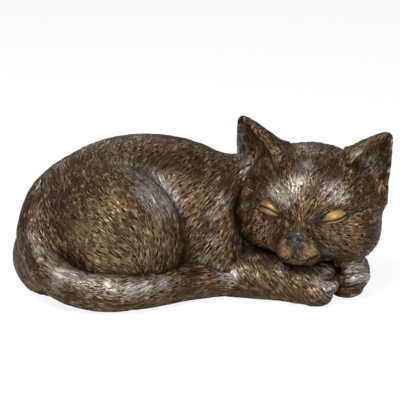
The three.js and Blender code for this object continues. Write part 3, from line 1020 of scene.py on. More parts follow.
WASH_AND_SHADE_LINES = [  # a line, how dark its painted shade and wash are, and how wide in pixels
    ("right slit", 1, 0.95), ("left slit", 1, 0.95), ("corner", 1, 1.3), ("right nostril", 1, 1.3),
    ("left nostril", 1, 1.3), ("mouth", 1, 1.1), ("right lid", 0.5, 1.6), ("left lid", 0.5, 1.6),
    ("right under", 0.25, 1.2), ("left under", 0.25, 1.2), ("chin", 0.8, 0.9),
]


def notch(uv, line, width):
    """1 on a line, falling off to both sides."""
    return np.exp(-((line_distance(uv, line) / width) ** 2))


def notches(uv, rows):
    """What each line takes from each point, by rows of a line's name, its strength and its width."""
    return [strength * notch(uv, LINES[line], width) for line, strength, width in rows]


def lid_depth(uv, rim):
    """How deep points lie between an eye's slit and a rim, "lid" above it or "under" below, in pixels."""
    depths = []
    for side in ("right", "left"):
        outline = np.concatenate([LINES[f"{side} {rim}"], LINES[f"{side} slit"][::-1]])
        depths.append(depth_inside(uv, outline))
    return np.max(depths, axis=0)


def lip_depth(uv):
    """How high points lie on the two halves of the upper lip, 0 at their edges and 1 in their middles."""
    far = np.min([np.linalg.norm(uv - middle, axis=1) / radius for middle, radius in LIPS], axis=0)
    return ramp(1 - far, 0, 0.9)


def face_relief(uv):
    """How far the face's details stand above the round forms, in millimetres."""
    rise = LID_RISE * ramp(lid_depth(uv, "lid"), -0.2, 2.2)
    rise += UNDER_RISE * ramp(lid_depth(uv, "under"), 0, 1.6)
    rise += LIP_RISE * lip_depth(uv)
    rise += NOSE_RISE * ramp(depth_inside(uv, LINES["nose"]), -0.4, 1.4)
    return rise - np.sum(notches(uv, CARVED), axis=0)


# %% Lay the head's skin
HEAD_SQUARE = 1.06
FACE_FRONT = 20  # the face, in the head's own frame: in front of this, and within the next three
FACE_HALF = 38
FACE_TOP = 18
FACE_FOOT = -36
EAR_FILLET = 13  # the skin runs from the head up into the ears in a wide curve, which the casting has not
SEAM_GAP = 0.3


def carve(piece, rise):
    """Moves a piece's points out along their normals, in millimetres, or in where rise is negative."""
    move_points(piece, points_of(piece) + rise[:, None] * normals_of(piece))


head = pieces["head"]
head_cast_form = placed(blend(1, head_form, *both(ear_form)), HEAD_AT, head_spin)
head_skin_form = placed(blend(EAR_FILLET, head_form, *both(ear_form)), HEAD_AT, head_spin)
remesh(head, HEAD_SQUARE)
lay_skin(head, head_skin_form, rounds=1, cast=head_cast_form)
q = (points_of(head) - HEAD_AT) @ head_spin
on_face = (q[:, 1] < -FACE_FRONT) & (np.abs(q[:, 0]) < FACE_HALF)
subdivide(head, on_face & (q[:, 2] < FACE_TOP) & (q[:, 2] > FACE_FOOT))
head_skin = lay_skin(head, head_skin_form, reach=4)
p = points_of(head)
q = (p - HEAD_AT) @ head_spin
front = ramp(-q[:, 1], FACE_FRONT - 1, FACE_FRONT + 2) * ramp(FACE_HALF - np.abs(q[:, 0]), 0, 3) * head_skin
uv = pixels_of(p)
facing = ramp(normals_of(head) @ np.array(camera.rotation_euler.to_matrix())[:, 2], 0.1, 0.4)
carve(head, face_relief(uv) * front * facing)
for neighbour in (body_form, near_leg_form, far_paw_form):
    keep_off(head, neighbour, SEAM_GAP)
print("head:", len(head.data.vertices), "points,", int(head_skin.sum()), "on its skin")

# %% Comb and paint the head
HEAD_COMB = [
    (300, 225, 0, -10), (302, 205, 1, -9), (304, 190, 1, -9), (305, 170, 1, -9), (306, 152, 1, -6),
    (292, 218, -4, -8), (285, 205, -6, -7), (290, 190, -4, -9), (275, 190, -7, -7), (280, 175, -3, -9),
    (290, 160, -1, -8), (268, 175, -5, -7), (262, 190, -7, -6), (308, 212, 6, -7), (315, 205, 6, -8),
    (320, 190, 6, -8), (330, 200, 7, -7), (338, 190, 7, -8), (345, 203, 7, -7), (325, 170, 5, -8),
    (335, 175, 7, -8), (350, 180, 7, -8), (318, 155, 2, -7), (358, 205, 7, -6), (368, 195, 6, -7),
    (355, 222, 8, -1), (368, 214, 7, -3), (345, 235, 8, 3), (360, 238, 8, 2), (330, 240, 6, 6),
    (342, 248, 8, 3), (372, 228, 7, 1), (322, 232, 5, 8), (312, 225, 5, 4), (255, 222, -5, 7),
    (262, 228, -5, 8), (268, 240, -4, 7), (247, 205, -6, 4), (250, 215, -6, 6), (275, 225, -3, 8),
    (280, 240, -4, 7), (285, 225, -2, 7), (243, 192, -4, -2), (285, 250, -5, 3), (308, 250, 5, 3),
    (312, 244, 6, 4), (290, 262, -4, 3), (303, 262, 4, 2), (250, 160, 4, -8), (256, 166, 5, -6),
    (246, 150, -1, -9), (245, 135, -1, -8), (256, 140, -4, -8), (262, 152, -4, -8), (250, 172, -4, -7),
    (263, 127, -7, -4), (275, 140, -7, -6), (282, 150, -6, -6), (365, 175, 6, -7), (375, 165, 5, -8),
    (370, 190, 6, -8), (378, 190, 4, -10), (360, 162, 6, -7), (385, 160, 2, -10), (377, 150, 4, -8),
    (366, 160, 6, -7), (355, 148, 7, -6), (345, 155, 6, -7), (387, 175, 2, -9), (383, 200, 2, -9),
]
HEAD_BACK = [  # pairs of places in the head's own frame
    ((0, 5, 49), (0, 13, 49)), ((0, 40, 30), (0, 44, 22)), ((0, 51, 8), (0, 51, -1)),
    ((0, 45, -15), (0, 41, -24)),
]
HEAD_SIDE = [
    ((22, 12, 44), (24, 20, 42)), ((26, 38, 25), (28, 42, 17)), ((46, 22, 18), (49, 26, 10)),
    ((30, 42, 0), (31, 42, -9)), ((52, 15, -5), (50, 22, -12)), ((36, 25, -25), (34, 26, -33)),
    ((50, -5, 18), (53, 0, 11)), ((15, 30, 38), (16, 37, 33)),
]
STROKE = 6  # mm, the length of a stroke that isn't read off the photograph
SHORT_BARE = 0.45  # how much of the comb's marks the short fur by the mouth goes without


def ear_strokes(side):
    """Strokes up the back of an ear, which fan out a little."""
    foot, up, across, back, half = ear_frame(side)
    strokes = []
    for t in (0.05, 0.3, 0.55, 0.8):
        for x in (-0.8, 0, 0.8):
            y = EAR_DEPTH * (1 - t) * math.sqrt(1 - x * x) + 1
            a = foot + up * t + across * x * half * (1 - t) + back * y
            strokes.append((a, a + STROKE * unit(up) + 2 * x * across))
    return strokes


head_local = HEAD_BACK + HEAD_SIDE + [[(-x, y, z) for x, y, z in pair] for pair in HEAD_SIDE]
head_local += ear_strokes(-1) + ear_strokes(1)
head_strokes = strokes_at(HEAD_COMB, head_seen_at)
head_strokes += [[head_spin @ np.array(a, float) + HEAD_AT for a in pair] for pair in head_local]
lid = ramp(np.maximum(lid_depth(uv, "lid"), lid_depth(uv, "under")), -0.6, 1.2) * front
nose = ramp(np.maximum(depth_inside(uv, LINES["nose"]), depth_inside(uv, CLEFT_SKIN)), -0.4, 0.4) * front
short = ramp(lip_depth(uv), 0.1, 0.6) * front
comb_piece(head, head_skin, comb_from(head_strokes), np.clip(lid + nose + SHORT_BARE * short, 0, 1))
for field, values in (("short", short), ("lid", lid), ("nose", nose)):
    store(head, field, values)
# painted shade in the slits, nostrils, mouth and round the lids, over the wash
paint_piece(head, np.max(notches(uv, WASH_AND_SHADE_LINES), axis=0) * front)

# %% [markdown]
# ## The tail
#
# The tail lies round the body with its tip at the foreleg. It is combed along its length, and where it lies
# on the body it keeps a narrow seam.

# %% Lay, comb and paint the tail
TAIL_SQUARE = 0.75
TAIL_COMB = [
    (35, 240, 5, 9), (48, 262, 7, 6), (60, 272, 8, 4), (80, 275, 8, 4), (75, 290, 8, 4), (100, 283, 8, 3),
    (125, 288, 7, -4), (140, 290, 8, -5), (160, 285, 8, -4), (185, 282, 8, -3), (210, 278, 8, -2),
    (232, 278, 8, -1), (110, 300, 8, 1), (150, 298, 8, -2), (190, 292, 8, -2), (220, 288, 8, -1),
    (95, 268, 8, 2), (130, 275, 8, 0), (160, 270, 8, -1), (200, 266, 8, -1), (230, 268, 8, 3),
]
tail = pieces["tail"]
remesh(tail, TAIL_SQUARE)
tail_skin_form = with_neighbour(tail_form, body_form, root_softness)
tail_skin = lay_skin(tail, tail_skin_form, cast=tail_form)
tail_strokes = strokes_at(TAIL_COMB)
for k in range(4, len(tail_path), 7):
    for out in ((0, 1, 0), (0, 0, -1), (-1, 0, 0)):
        at = tail_path[k] + np.array(out) * tail_radii[k]
        tail_strokes.append((at, at + STROKE * tail_ways[k]))
comb_piece(tail, tail_skin, comb_from(tail_strokes))
p = points_of(tail)
# painted shade in the fold where the tail lies on the body
paint_piece(tail, 0.8 * fold(6, tail_form(p), body_form(p)) * (1 - ramp(root_softness(p), 4, 10)))
print("tail:", len(p), "points,", int(tail_skin.sum()), "on its skin")

# %% [markdown]
# ## The paws
#
# The near foreleg lies in front with its toes to the right, and the far forepaw peeps out behind them.
# Grooves part the toes.

# %% Lay, comb and paint the paws
NEAR_LEG_COMB = [
    (240, 262, 5, 8), (255, 270, 4, 8), (270, 275, 5, 8), (283, 272, 5, 9), (300, 275, 6, 7),
    (312, 272, 7, 7), (322, 270, 7, 4), (310, 290, 5, 7), (290, 290, 6, 5), (260, 290, 6, 4),
    (325, 283, 6, 3), (270, 262, 6, 7), (300, 266, 7, 5),
]
FAR_PAW_COMB = [
    (362, 255, -10, -1), (362, 268, -12, 1), (362, 280, -12, 2), (366, 290, -10, 2), (368, 262, -6, -4),
    (350, 256, -8, 4), (345, 270, -5, 3),
]
NEAR_TOES = [  # the grooves between the toes, in pixels
    [(334, 277), (329, 279.5), (325, 279)],
    [(334.5, 289.5), (329, 293), (324, 291)],
    [(322, 289), (327, 296.5), (331, 299)],
]
FAR_TOES = [
    [(337, 272.5), (344, 274.5), (352, 273.5), (358, 272)],
    [(338, 286.5), (345, 287.5), (352, 286.8), (358, 285)],
    [(336, 263), (338, 268), (339, 273)],
]
PAW_SQUARE = 0.7
TOE_CLEFT = 1.2  # how deep and how wide, in mm and in pixels
for name, form, lines, pixels, edge in (
    ("near_foreleg", near_leg_form, NEAR_TOES, NEAR_LEG_COMB, -44),
    ("far_forepaw", far_paw_form, FAR_TOES, FAR_PAW_COMB, -26),
):
    paw = pieces[name]
    remesh(paw, PAW_SQUARE)
    skin = lay_skin(paw, form)
    p = points_of(paw)
    uv = pixels_of(p)
    cleft = np.max([notch(uv, line, TOE_CLEFT) for line in lines], axis=0) * ramp(edge - p[:, 1], 0, 4)
    carve(paw, -TOE_CLEFT * cleft)
    comb_piece(paw, skin, comb_from(strokes_at(pixels, finder([paw]))))
    # painted shade in the grooves between the toes
    paint_piece(paw, cleft)
    print(name + ":", len(p), "points,", int(skin.sum()), "on its skin")

# %% [markdown]
# ## Base, screws, pads and pins
#
# Under the hollow body lies a fibreboard plate with four countersunk screws and four rubber pads, and steel
# pins hold the castings together. Little of this shows, and each piece is still made as the real one is:
# the board has eased edges, the screws have a thread and a cross recess, and the pins are fluted so that
# the glue keys in.

# %% Helpers for turned pieces
def turned_piece(name, node, outline, steps=48):
    """A round piece that stands for a CAD node: an outline of radii and heights, in mm, spun round Z."""
    mesh = bpy.data.meshes.new(name)
    links = [(i, i + 1) for i in range(len(outline) - 1)]
    mesh.from_pydata([(r * MM, 0, z * MM) for r, z in outline], links, [])
    piece = new_piece(name, mesh, node)
    bpy.ops.mesh.spin(steps=steps, angle=2 * math.pi, center=(0, 0, 0), axis=(0, 0, 1))
    bpy.ops.mesh.select_all(action="SELECT")
    bpy.ops.mesh.remove_doubles(threshold=WELD)
    bpy.ops.mesh.normals_make_consistent(inside=False)
    bpy.ops.object.mode_set(mode="OBJECT")
    return piece


def box_middle(p):
    """The middle of the box round an array of points."""
    return (p.min(0) + p.max(0)) / 2


def seat(piece, node):
    """Moves a turned piece from the origin to the middle of its CAD node's underside."""
    p = points_of(nodes[node], 0)
    middle = box_middle(p)
    move_points(piece, points_of(piece, 0) + (middle[0], middle[1], p[:, 2].min()), 0)


def apply_modifier(piece, kind, **settings):
    """Changes a piece's mesh by a modifier."""
    only(piece)
    bpy.ops.object.modifier_add(type=kind)
    modifier = piece.modifiers[-1]
    for name, value in settings.items():
        setattr(modifier, name, value)
    bpy.ops.object.modifier_apply(modifier=modifier.name)


def ease(piece, width, degrees):
    """Bevels the edges sharper than an angle, by a width in millimetres."""
    angle = math.radians(degrees)
    apply_modifier(piece, "BEVEL", width=width * MM, segments=2, limit_method="ANGLE", angle_limit=angle)


def smooth(piece, degrees):
    """Shades a piece smooth, apart from the edges sharper than an angle."""
    only(piece)
    bpy.ops.object.shade_smooth_by_angle(angle=math.radians(degrees))


# %% Base board
board = casting_copy("base_plate", "base_board")
ease(board, 0.4, 50)
smooth(board, 30)
print("base board:", len(board.data.polygons), "faces")

# %% Screws
PITCH = 1.4  # this and all below in mm
SCREW = dict(head=4, rim=0.3, cone=2.2, shaft=2, core=1.45, length=16)
HEAD_EASE = (0.25, 0.12)  # how far in and how deep the edge of a screw's head is broken
THREAD_START = 0.3  # below the head's cone
TIP = 2  # the length of a screw's pointed end
RECESS_TOP = (2.1, 0.48)  # half the length and half the width of a bar of the cross
RECESS_FOOT = (0.7, 0.3)
RECESS_DEPTH = 1.5
RECESS_OVER = 0.3  # how far the cutting bars stand out over the head's face


def screw_outline():
    """From the middle of the head's face to the tip, with rings close enough for the thread."""
    s = SCREW
    inset, drop = HEAD_EASE
    face = [(0, 0), (s["head"] - inset, 0), (s["head"], drop)]
    face += [(s["head"], s["rim"]), (s["shaft"], s["cone"])]
    shaft = [(s["shaft"], z) for z in np.arange(s["cone"] + THREAD_START, s["length"] - TIP, PITCH / 8)]
    tip = [(s["shaft"] * k, s["length"] - TIP * k) for k in (0.8, 0.6, 0.4, 0.2)]
    return face + shaft + tip + [(0, s["length"])]


def cut_thread(piece):
    """Presses a spiral groove into a screw's shaft."""
    p = points_of(piece, 0)
    turn = np.arctan2(p[:, 1], p[:, 0]) / (2 * math.pi)
    phase = np.abs((p[:, 2] / PITCH - turn) % 1 - 0.5) * 2
    groove = (1 - SCREW["core"] / SCREW["shaft"]) * np.clip(1.3 * phase - 0.15, 0, 1)
    start = SCREW["cone"] + THREAD_START
    p[:, :2] *= (1 - groove * ramp(p[:, 2], start, start + 0.9))[:, None]
    move_points(piece, p, 0)


def cross_recess():
    """Two tapered bars, crossed as on the driver's tip, to be cut into a screw's head."""
    bars = []
    for c, s in ((1, 0), (0, 1)):
        bpy.ops.mesh.primitive_cylinder_add(vertices=4, radius=1, depth=1, rotation=(0, 0, math.pi / 4))
        bar = bpy.context.object
        bpy.ops.object.transform_apply()
        p = points_of(bar, 0)
        deep = p[:, 2] > 0
        p[:, :2] = np.sign(p[:, :2]) * np.where(deep[:, None], RECESS_FOOT, RECESS_TOP)
        p[:, 2] = np.where(deep, RECESS_DEPTH, -RECESS_OVER)
        p[:, :2] = p[:, :2] @ np.array(((c, s), (-s, c)))
        move_points(bar, p, 0)
        bars.append(bar)
    return bars


screws = []
for number in range(1, 5):
    node = f"base_screw_{number}"
    screw = turned_piece(f"screw_{number}", node, screw_outline())
    cut_thread(screw)
    for bar in cross_recess():
        apply_modifier(screw, "BOOLEAN", object=bar, operation="DIFFERENCE", solver="EXACT")
        bpy.data.objects.remove(bar)
    seat(screw, node)
    smooth(screw, 32)
    screws.append(screw)
print("screws:", len(screws), "with", len(screws[0].data.polygons), "faces each")

# %% Rubber pads
PAD_OUTLINE = [(0, 0.35), (2.0, 0.35), (2.3, 0), (4.5, 0), (5, 0.5), (5, 2.7), (4.7, 3), (0, 3)]
pads = []
for number in range(1, 5):
    node = f"foot_pad_{number}"
    pad = turned_piece(f"rubber_pad_{number}", node, PAD_OUTLINE)
    seat(pad, node)
    ease(pad, 0.15, 30)
    smooth(pad, 40)
    pads.append(pad)
print("pads:", len(pads))

# %% Fluted pins
PIN_NODES = [f"{joint}_pin_{i}" for joint in ("neck", "tail", "foreleg") for i in (1, 2)] + ["paw_pin"]
PIN_RADIUS = 2.5
PIN_EASE = (0.6, 0.7)  # how far in and how far back the rounded end begins
FLUTES = 12
FLUTE_SHARE = 0.07  # of the radius
pins = []
for node in PIN_NODES:
    p = points_of(nodes[node], 0)
    middle = box_middle(p)
    way = np.linalg.svd(p - p.mean(0), full_matrices=False)[2][0]
    half = np.abs((p - middle) @ way).max()
    inset, back = PIN_EASE
    side = [(PIN_RADIUS, z) for z in np.linspace(back - half, half - back, 9)]
    ends = [[(0, z), (PIN_RADIUS - inset, z)] for z in (-half, half)]
    pin = turned_piece(node + "_dowel", node, ends[0] + side + ends[1][::-1], steps=72)
    p = points_of(pin, 0)
    flute = np.clip(np.cos(np.arctan2(p[:, 1], p[:, 0]) * FLUTES), 0, 1)
    flute *= ramp(half - np.abs(p[:, 2]), 1.5, 4)
    p[:, :2] *= (1 - FLUTE_SHARE * flute)[:, None]
    spin = np.array(Vector(way).to_track_quat("Z", "Y").to_matrix())
    move_points(pin, p @ spin.T + middle, 0)
    smooth(pin, 30)
    pins.append(pin)
print("pins:", len(pins))

# %% [markdown]
# ## Colours and nodes
#
# Colours are written as they look on a screen, in hex, and one function turns them into the linear values
# that a shader mixes. One more adds a node with its settings and links, and one feeds a node its inputs.

# %% Colour and node helpers
def colour(text):
    """An sRGB hex colour as linear red, green, blue and alpha."""
    channels = [int(text[i : i + 2], 16) / 255 for i in (1, 3, 5)]
    return [c / 12.92 if c <= 0.04045 else ((c + 0.055) / 1.055) ** 2.4 for c in channels] + [1]


def feed(node, inputs):
    """Gives a node its inputs, in a row or by name: values, or other nodes' outputs, which are linked."""
    for name, value in inputs.items() if isinstance(inputs, dict) else enumerate(inputs):
        if isinstance(value, bpy.types.NodeSocket):
            node.id_data.links.new(value, node.inputs[name])
        else:
            node.inputs[name].default_value = value


def add(tree, kind, inputs=(), **settings):
    """Adds a node with its settings and inputs, and gives its first output."""
    node = tree.nodes.new("ShaderNode" + kind)
    for name, value in settings.items():
        setattr(node, name, value)
    feed(node, inputs)
    return next(socket for socket in node.outputs if socket.enabled)


def new_material(name):
    """A new material, with its node tree and its shader."""
    material = bpy.data.materials.new(name)
    material.use_nodes = True
    tree = material.node_tree
    return material, tree, tree.nodes["Principled BSDF"]


# %% [markdown]
# ## Antique bronze paint
#
# The resin is filled with bronze powder and painted: a nearly black wash lies in every groove, brown bronze
# on the fur, and silver and gold paste on the tips where the dry brush passed. The silver also carries
# painted highlights where the light falls on the tops, and a near black layer paints the shade in folds,
# hollows and under the head. The pastes are metal, so they glint in short streaks, while the wash stays
# dull. The finest hairs are thinner than the mesh can hold: the paint draws them half a millimetre wide.

# %% The paint of the castings
HAIR_WIDTH = 0.52  # this and the next four in mm
HAIR_RUN = 6.4  # a hair's length on the body
FACE_RUN = 4.6  # and on the head, where the hairs are shorter
CLOUD = 16  # the size of the broad, faint changes of the wash
GRAIN = 1.4  # the size of the bronze powder's clusters
SOFT = dict(interpolation_type="SMOOTHSTEP")
NOISE = (0.41, 0.59)  # a noise's middle part, stretched to give clear hairs
LAYER_SHARES = (0.2, 0.1, 0.52, 0.18)  # of the comb's marks, its locks, the finest hairs and the grain
CALM = (0.76, 0.35)  # the short fur by the mouth is drawn to this height, by this share
CLOUD_SHARE = 0.2
WASH_SINK = 0.14
TIPS = (0.38, 0.66)  # the dry brush begins to touch at the first height and covers at the second
COVER = (0.85, 0.25)  # how much silver and painted highlight the tips take, and how much more, a painted sheen, wherever the dab is full
METAL = (0.55, 0.25)  # of the bronze, and what paste adds
ROUGH = (0.52, -0.10, -0.2)  # of the wash, and what the tips and the nose's gloss take away
HAIR_BUMP = 0.00025  # metres
WASH_SHINE = 0.22  # the wash is dull
FUR_STOPS = [(0.15, "#140A03"), (0.38, "#2C1D0D"), (0.55, "#523E25"), (0.70, "#82694A"), (0.90, "#B8A488")]
# gold paste, silver paste with painted highlights, and near black painted shade over the wash
PASTES_AND_PAINTED_LIGHT = [("gold", 0.75, "#AE9169"), ("silver_and_highlight", 0.85, "#DAD4CB"), ("dark", 0.88, "#140C06")]
BARE = [  # ochre lids and a slate nose: the pattern, its two colours and the colour of its painted shade and wash
    ("lid", "cloud", "#765B35", "#997C50", "#1A1008"),
    ("nose", "grain", "#2D2C2C", "#413F3E", "#0C0B0A"),
]


def antique_bronze(name, seed, run, face):
    """A casting's paint. seed picks the hairs' pattern, and run is the hairs' length in millimetres."""
    material, tree, shader = new_material(name)
    fields = ["hair", "lock", "silver_and_highlight", "gold", "dark"] + (["short", "lid", "nose"] if face else [])
    kept = {field: add(tree, "Attribute", attribute_name=field).node.outputs["Fac"] for field in fields}
    fine = 0.5
    for layer in (1, 2):
        patch = add(tree, "Attribute", attribute_name=f"patch_{layer}").node.outputs["Vector"]
        strength = add(tree, "SeparateXYZ", [patch]).node.outputs["Z"]
        combed = add(tree, "Mapping", {0: patch, 1: (seed, 0, 0), 3: (1 / HAIR_WIDTH, 1 / run, 0)})
        inputs = {"Vector": combed, "Scale": 1.0, "Detail": 1.0}
        noise = add(tree, "TexNoise", inputs, noise_dimensions="2D")
        noise = add(tree, "MapRange", [noise, *NOISE, -0.5, 0.5], **SOFT)
        fine = add(tree, "Math", [noise, strength, fine], operation="MULTIPLY_ADD")
    place = add(tree, "TexCoord").node.outputs["Object"]
    cloud = add(tree, "TexNoise", {"Vector": place, "Scale": 1 / (CLOUD * MM), "Detail": 3.0})
    grain = add(tree, "TexNoise", {"Vector": place, "Scale": 1 / (GRAIN * MM), "Detail": 2.0})
    relief = 0.0
    for layer, share in zip((kept["hair"], kept["lock"], fine, grain), LAYER_SHARES):
        relief = add(tree, "Math", [layer, share, relief], operation="MULTIPLY_ADD")
    if face:
        level, share = CALM
        calm = add(tree, "Math", [level, relief], operation="SUBTRACT")
        share = add(tree, "Math", [kept["short"], share], operation="MULTIPLY")
        relief = add(tree, "Math", [share, calm, relief], operation="MULTIPLY_ADD")
    shade = add(tree, "Math", [relief, WASH_SINK], operation="SUBTRACT")
    shade = add(tree, "Math", [cloud, CLOUD_SHARE, shade], operation="MULTIPLY_ADD")
    base = add(tree, "ValToRGB", [shade])
    elements = base.node.color_ramp.elements
    for _ in FUR_STOPS[2:]:
        elements.new(0.5)
    for element, (stop, text) in zip(elements, FUR_STOPS):
        element.position = stop
        element.color = colour(text)
    tips = add(tree, "MapRange", [relief, *TIPS, 0.0, 1.0], **SOFT)
    cover = add(tree, "Math", [tips, COVER[0]], operation="MULTIPLY")
    cover = add(tree, "Math", [kept["silver_and_highlight"], COVER[1], cover], operation="MULTIPLY_ADD")
    kept["gold"] = add(tree, "Math", [kept["gold"], tips], operation="MULTIPLY")
    kept["silver_and_highlight"] = add(tree, "Math", [kept["silver_and_highlight"], cover], operation="MULTIPLY")
    # gold, silver with its painted highlights, and the dark's painted shade, laid over the fur
    for overlay, strength, text in PASTES_AND_PAINTED_LIGHT:
        share = add(tree, "Math", [kept[overlay], strength], operation="MULTIPLY")
        base = add(tree, "Mix", {0: share, 6: base, 7: colour(text)}, data_type="RGBA")
    overlay = add(tree, "Math", [kept["gold"], kept["silver_and_highlight"]], operation="MAXIMUM")
    metallic = add(tree, "Math", [overlay, METAL[1], METAL[0]], operation="MULTIPLY_ADD")
    rough = add(tree, "Math", [tips, ROUGH[1], ROUGH[0]], operation="MULTIPLY_ADD")
    if face:
        patterns = {"cloud": cloud, "grain": grain}
        for part, pattern, low, high, shade_and_wash in BARE:
            tone = add(tree, "MapRange", [patterns[pattern], 0.3, 0.7, 0.0, 1.0], **SOFT)
            tone = add(tree, "Mix", {0: tone, 6: colour(low), 7: colour(high)}, data_type="RGBA")
            # painted shade round the lids and in the nostrils
            tone = add(tree, "Mix", {0: kept["dark"], 6: tone, 7: colour(shade_and_wash)}, data_type="RGBA")
            base = add(tree, "Mix", {0: kept[part], 6: base, 7: tone}, data_type="RGBA")
        resin = add(tree, "Math", [1.0, kept["nose"]], operation="SUBTRACT")
        metallic = add(tree, "Math", [metallic, resin], operation="MULTIPLY")
        rough = add(tree, "Math", [kept["nose"], ROUGH[2], rough], operation="MULTIPLY_ADD")
        bare = add(tree, "Math", [kept["lid"], kept["nose"]], operation="MAXIMUM")
        haired = add(tree, "Math", [1.0, bare], operation="SUBTRACT")
        fine = add(tree, "Math", [fine, haired], operation="MULTIPLY")
    bump = add(tree, "Bump", {"Height": fine, "Distance": HAIR_BUMP, "Strength": 0.8})
    feed(shader, {"Base Color": base, "Metallic": metallic, "Roughness": rough, "Normal": bump})
    feed(shader, {"Specular IOR Level": WASH_SHINE})
    return material


for number, (name, slot) in enumerate((
    ("body", "bronze_body"), ("head", "bronze_head"), ("tail", "bronze_tail"),
    ("near_foreleg", "bronze_foreleg"), ("far_forepaw", "bronze_forepaw"),
)):
    run = FACE_RUN if name == "head" else HAIR_RUN
    paint = antique_bronze("antique_bronze_on_" + name, 7.3 * number, run, name == "head")
    pieces[name].data.materials.append(paint)
    print(name, "takes", paint.name)

# %% [markdown]
# ## Materials of the small parts
#
# The board is fibreboard stained dark: its faces are smooth, its sawn edges show short pale fibres. The
# screws are bright zinc, the pins plain drawn steel with a finer grain, and the pads dull black rubber.

# %% Board, steel and rubber
FIBRE = 1.2  # this and the next three are sizes of a grain in mm
WEAR = 1.5
DRAWN = 0.4
RUBBER = 0.6
EDGE = 0.6  # a face that looks up or down less than this is a sawn edge
FACE_TONES = (0.35, 0.65, "#2A221C", "#3A3028")
SAWN_TONES = (0.40, 0.62, "#3A2D22", "#6E5A44")


def stained_fibreboard():
    """Dark fibreboard, with pale fibres on its sawn edges."""
    material, tree, shader = new_material("dark_stained_fibreboard")
    place = add(tree, "TexCoord").node.outputs["Object"]
    long = add(tree, "Mapping", {0: place, 3: (1, 1, 3)})
    fibres = add(tree, "TexNoise", {"Vector": long, "Scale": 1 / (FIBRE * MM)})
    up = add(tree, "SeparateXYZ", [add(tree, "NewGeometry").node.outputs["Normal"]]).node.outputs["Z"]
    edge = add(tree, "Math", [add(tree, "Math", [up], operation="ABSOLUTE"), EDGE], operation="LESS_THAN")
    tones = []
    for start, end, low, high in (FACE_TONES, SAWN_TONES):
        share = add(tree, "MapRange", [fibres, start, end, 0.0, 1.0], **SOFT)
        tones.append(add(tree, "Mix", {0: share, 6: colour(low), 7: colour(high)}, data_type="RGBA"))
    base = add(tree, "Mix", {0: edge, 6: tones[0], 7: tones[1]}, data_type="RGBA")
    bump = add(tree, "Bump", {"Height": fibres, "Distance": 0.0001})
    feed(shader, {"Base Color": base, "Roughness": 0.7, "Normal": bump})
    return material


def steel(name, text, roughness, drawn=False):
    """Bare metal. Drawing has left a finer grain on it, if it is drawn."""
    material, tree, shader = new_material(name)
    place = add(tree, "TexCoord").node.outputs["Object"]
    wear = add(tree, "TexNoise", {"Vector": place, "Scale": 1 / (WEAR * MM), "Detail": 3.0})
    if drawn:
        grain = add(tree, "TexNoise", {"Vector": place, "Scale": 1 / (DRAWN * MM), "Detail": 1.0})
        wear = add(tree, "Math", [wear, 0.5], operation="MULTIPLY")
        wear = add(tree, "Math", [grain, 0.5, wear], operation="MULTIPLY_ADD")
    rough = add(tree, "MapRange", [wear, 0.3, 0.7, *roughness], **SOFT)
    feed(shader, {"Base Color": colour(text), "Metallic": 1.0, "Roughness": rough})
    return material


def black_rubber():
    """Dull rubber with a fine grain."""
    material, tree, shader = new_material("matt_black_rubber")
    place = add(tree, "TexCoord").node.outputs["Object"]
    grain = add(tree, "TexNoise", {"Vector": place, "Scale": 1 / (RUBBER * MM), "Detail": 2.0})
    base = add(tree, "Mix", {0: grain, 6: colour("#0E0E0E"), 7: colour("#1E1D1C")}, data_type="RGBA")
    bump = add(tree, "Bump", {"Height": grain, "Distance": 0.00008})
    feed(shader, {"Base Color": base, "Roughness": 0.8, "Normal": bump})
    return material


FINISHES = [
    ([board], stained_fibreboard(), "base_board"),
    (screws, steel("zinc_plated_steel", "#BDBFC0", (0.22, 0.38)), "zinc_steel"),
    (pads, black_rubber(), "foot_rubber"),
    (pins, steel("drawn_steel_rod", "#8E9092", (0.30, 0.45), drawn=True), "pin_steel"),
]
for group, material, slot in FINISHES:
    for piece in group:
        piece.data.materials.clear()
        piece.data.materials.append(material)
    print(slot, "on", len(group), "pieces")

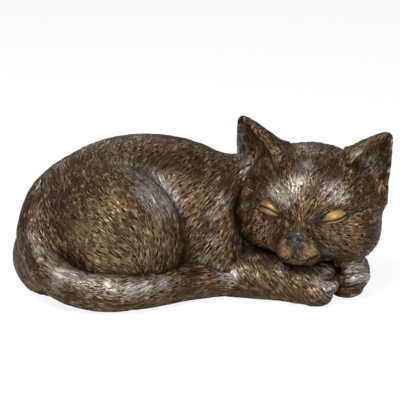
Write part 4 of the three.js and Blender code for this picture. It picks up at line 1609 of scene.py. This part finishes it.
# %% [markdown]
# ## Floor and light
#
# The photograph is a catalogue picture on white. The floor looks white to the camera and keeps a faint
# shadow. A large soft lamp hangs in front on the left, a weaker one on the right, and one behind draws the
# back's upper edge.

# %% Floor
FLOOR_SIZE = 8
GLOW = 1.08
GLOW_SHARE = 0.82  # how much of the glow the camera sees
bpy.ops.mesh.primitive_plane_add(size=FLOOR_SIZE)
floor = bpy.context.object
floor.name = "floor"
material, tree, shader = new_material("white_paper")
feed(shader, {"Base Color": colour("#F4F4F4"), "Roughness": 0.9, "Specular IOR Level": 0.1})
white = add(tree, "Emission", {"Color": colour("#FFFFFF"), "Strength": GLOW})
seen = add(tree, "LightPath").node.outputs["Is Camera Ray"]
share = add(tree, "Math", [seen, GLOW_SHARE], operation="MULTIPLY")
surface = add(tree, "MixShader", [share, shader.outputs[0], white])
feed(tree.nodes["Material Output"], {"Surface": surface})
floor.data.materials.append(material)
print("floor:", floor.name, "in", material.name)

# %% World and lamps
AROUND = 0.32  # how strongly the white room lights the figure
LAMPS = {  # where each hangs and how large it is, in metres, and its power in watts
    "key": ((-0.25, -0.75, 0.95), 0.4, 14),
    "fill": ((0.8, -0.7, 0.5), 0.5, 3.5),
    "back": ((-0.3, 0.8, 0.8), 0.5, 1.5),
}
world = bpy.data.worlds.new("white_room")
bpy.context.scene.world = world
world.use_nodes = True
room = world.node_tree
path = add(room, "LightPath").node.outputs
direct = add(room, "Math", [path["Is Camera Ray"], path["Is Transmission Ray"]], operation="MAXIMUM")
strength = add(room, "Math", [direct, 1 - AROUND, AROUND], operation="MULTIPLY_ADD")
feed(room.nodes["Background"], {"Color": colour("#FFFFFF"), "Strength": strength})


def lamp(name, place, size, power):
    """A square soft lamp that faces the figure."""
    data = bpy.data.lights.new(name, "AREA")
    data.energy = power
    data.size = size
    thing = bpy.data.objects.new(name, data)
    thing.location = place
    thing.rotation_euler = (TARGET - Vector(place)).to_track_quat("-Z", "Y").to_euler()
    bpy.context.scene.collection.objects.link(thing)


for name, (place, size, power) in LAMPS.items():
    lamp(name, place, size, power)
print("lamps:", len(LAMPS))
bpy.context.scene.view_settings.view_transform = "Standard"
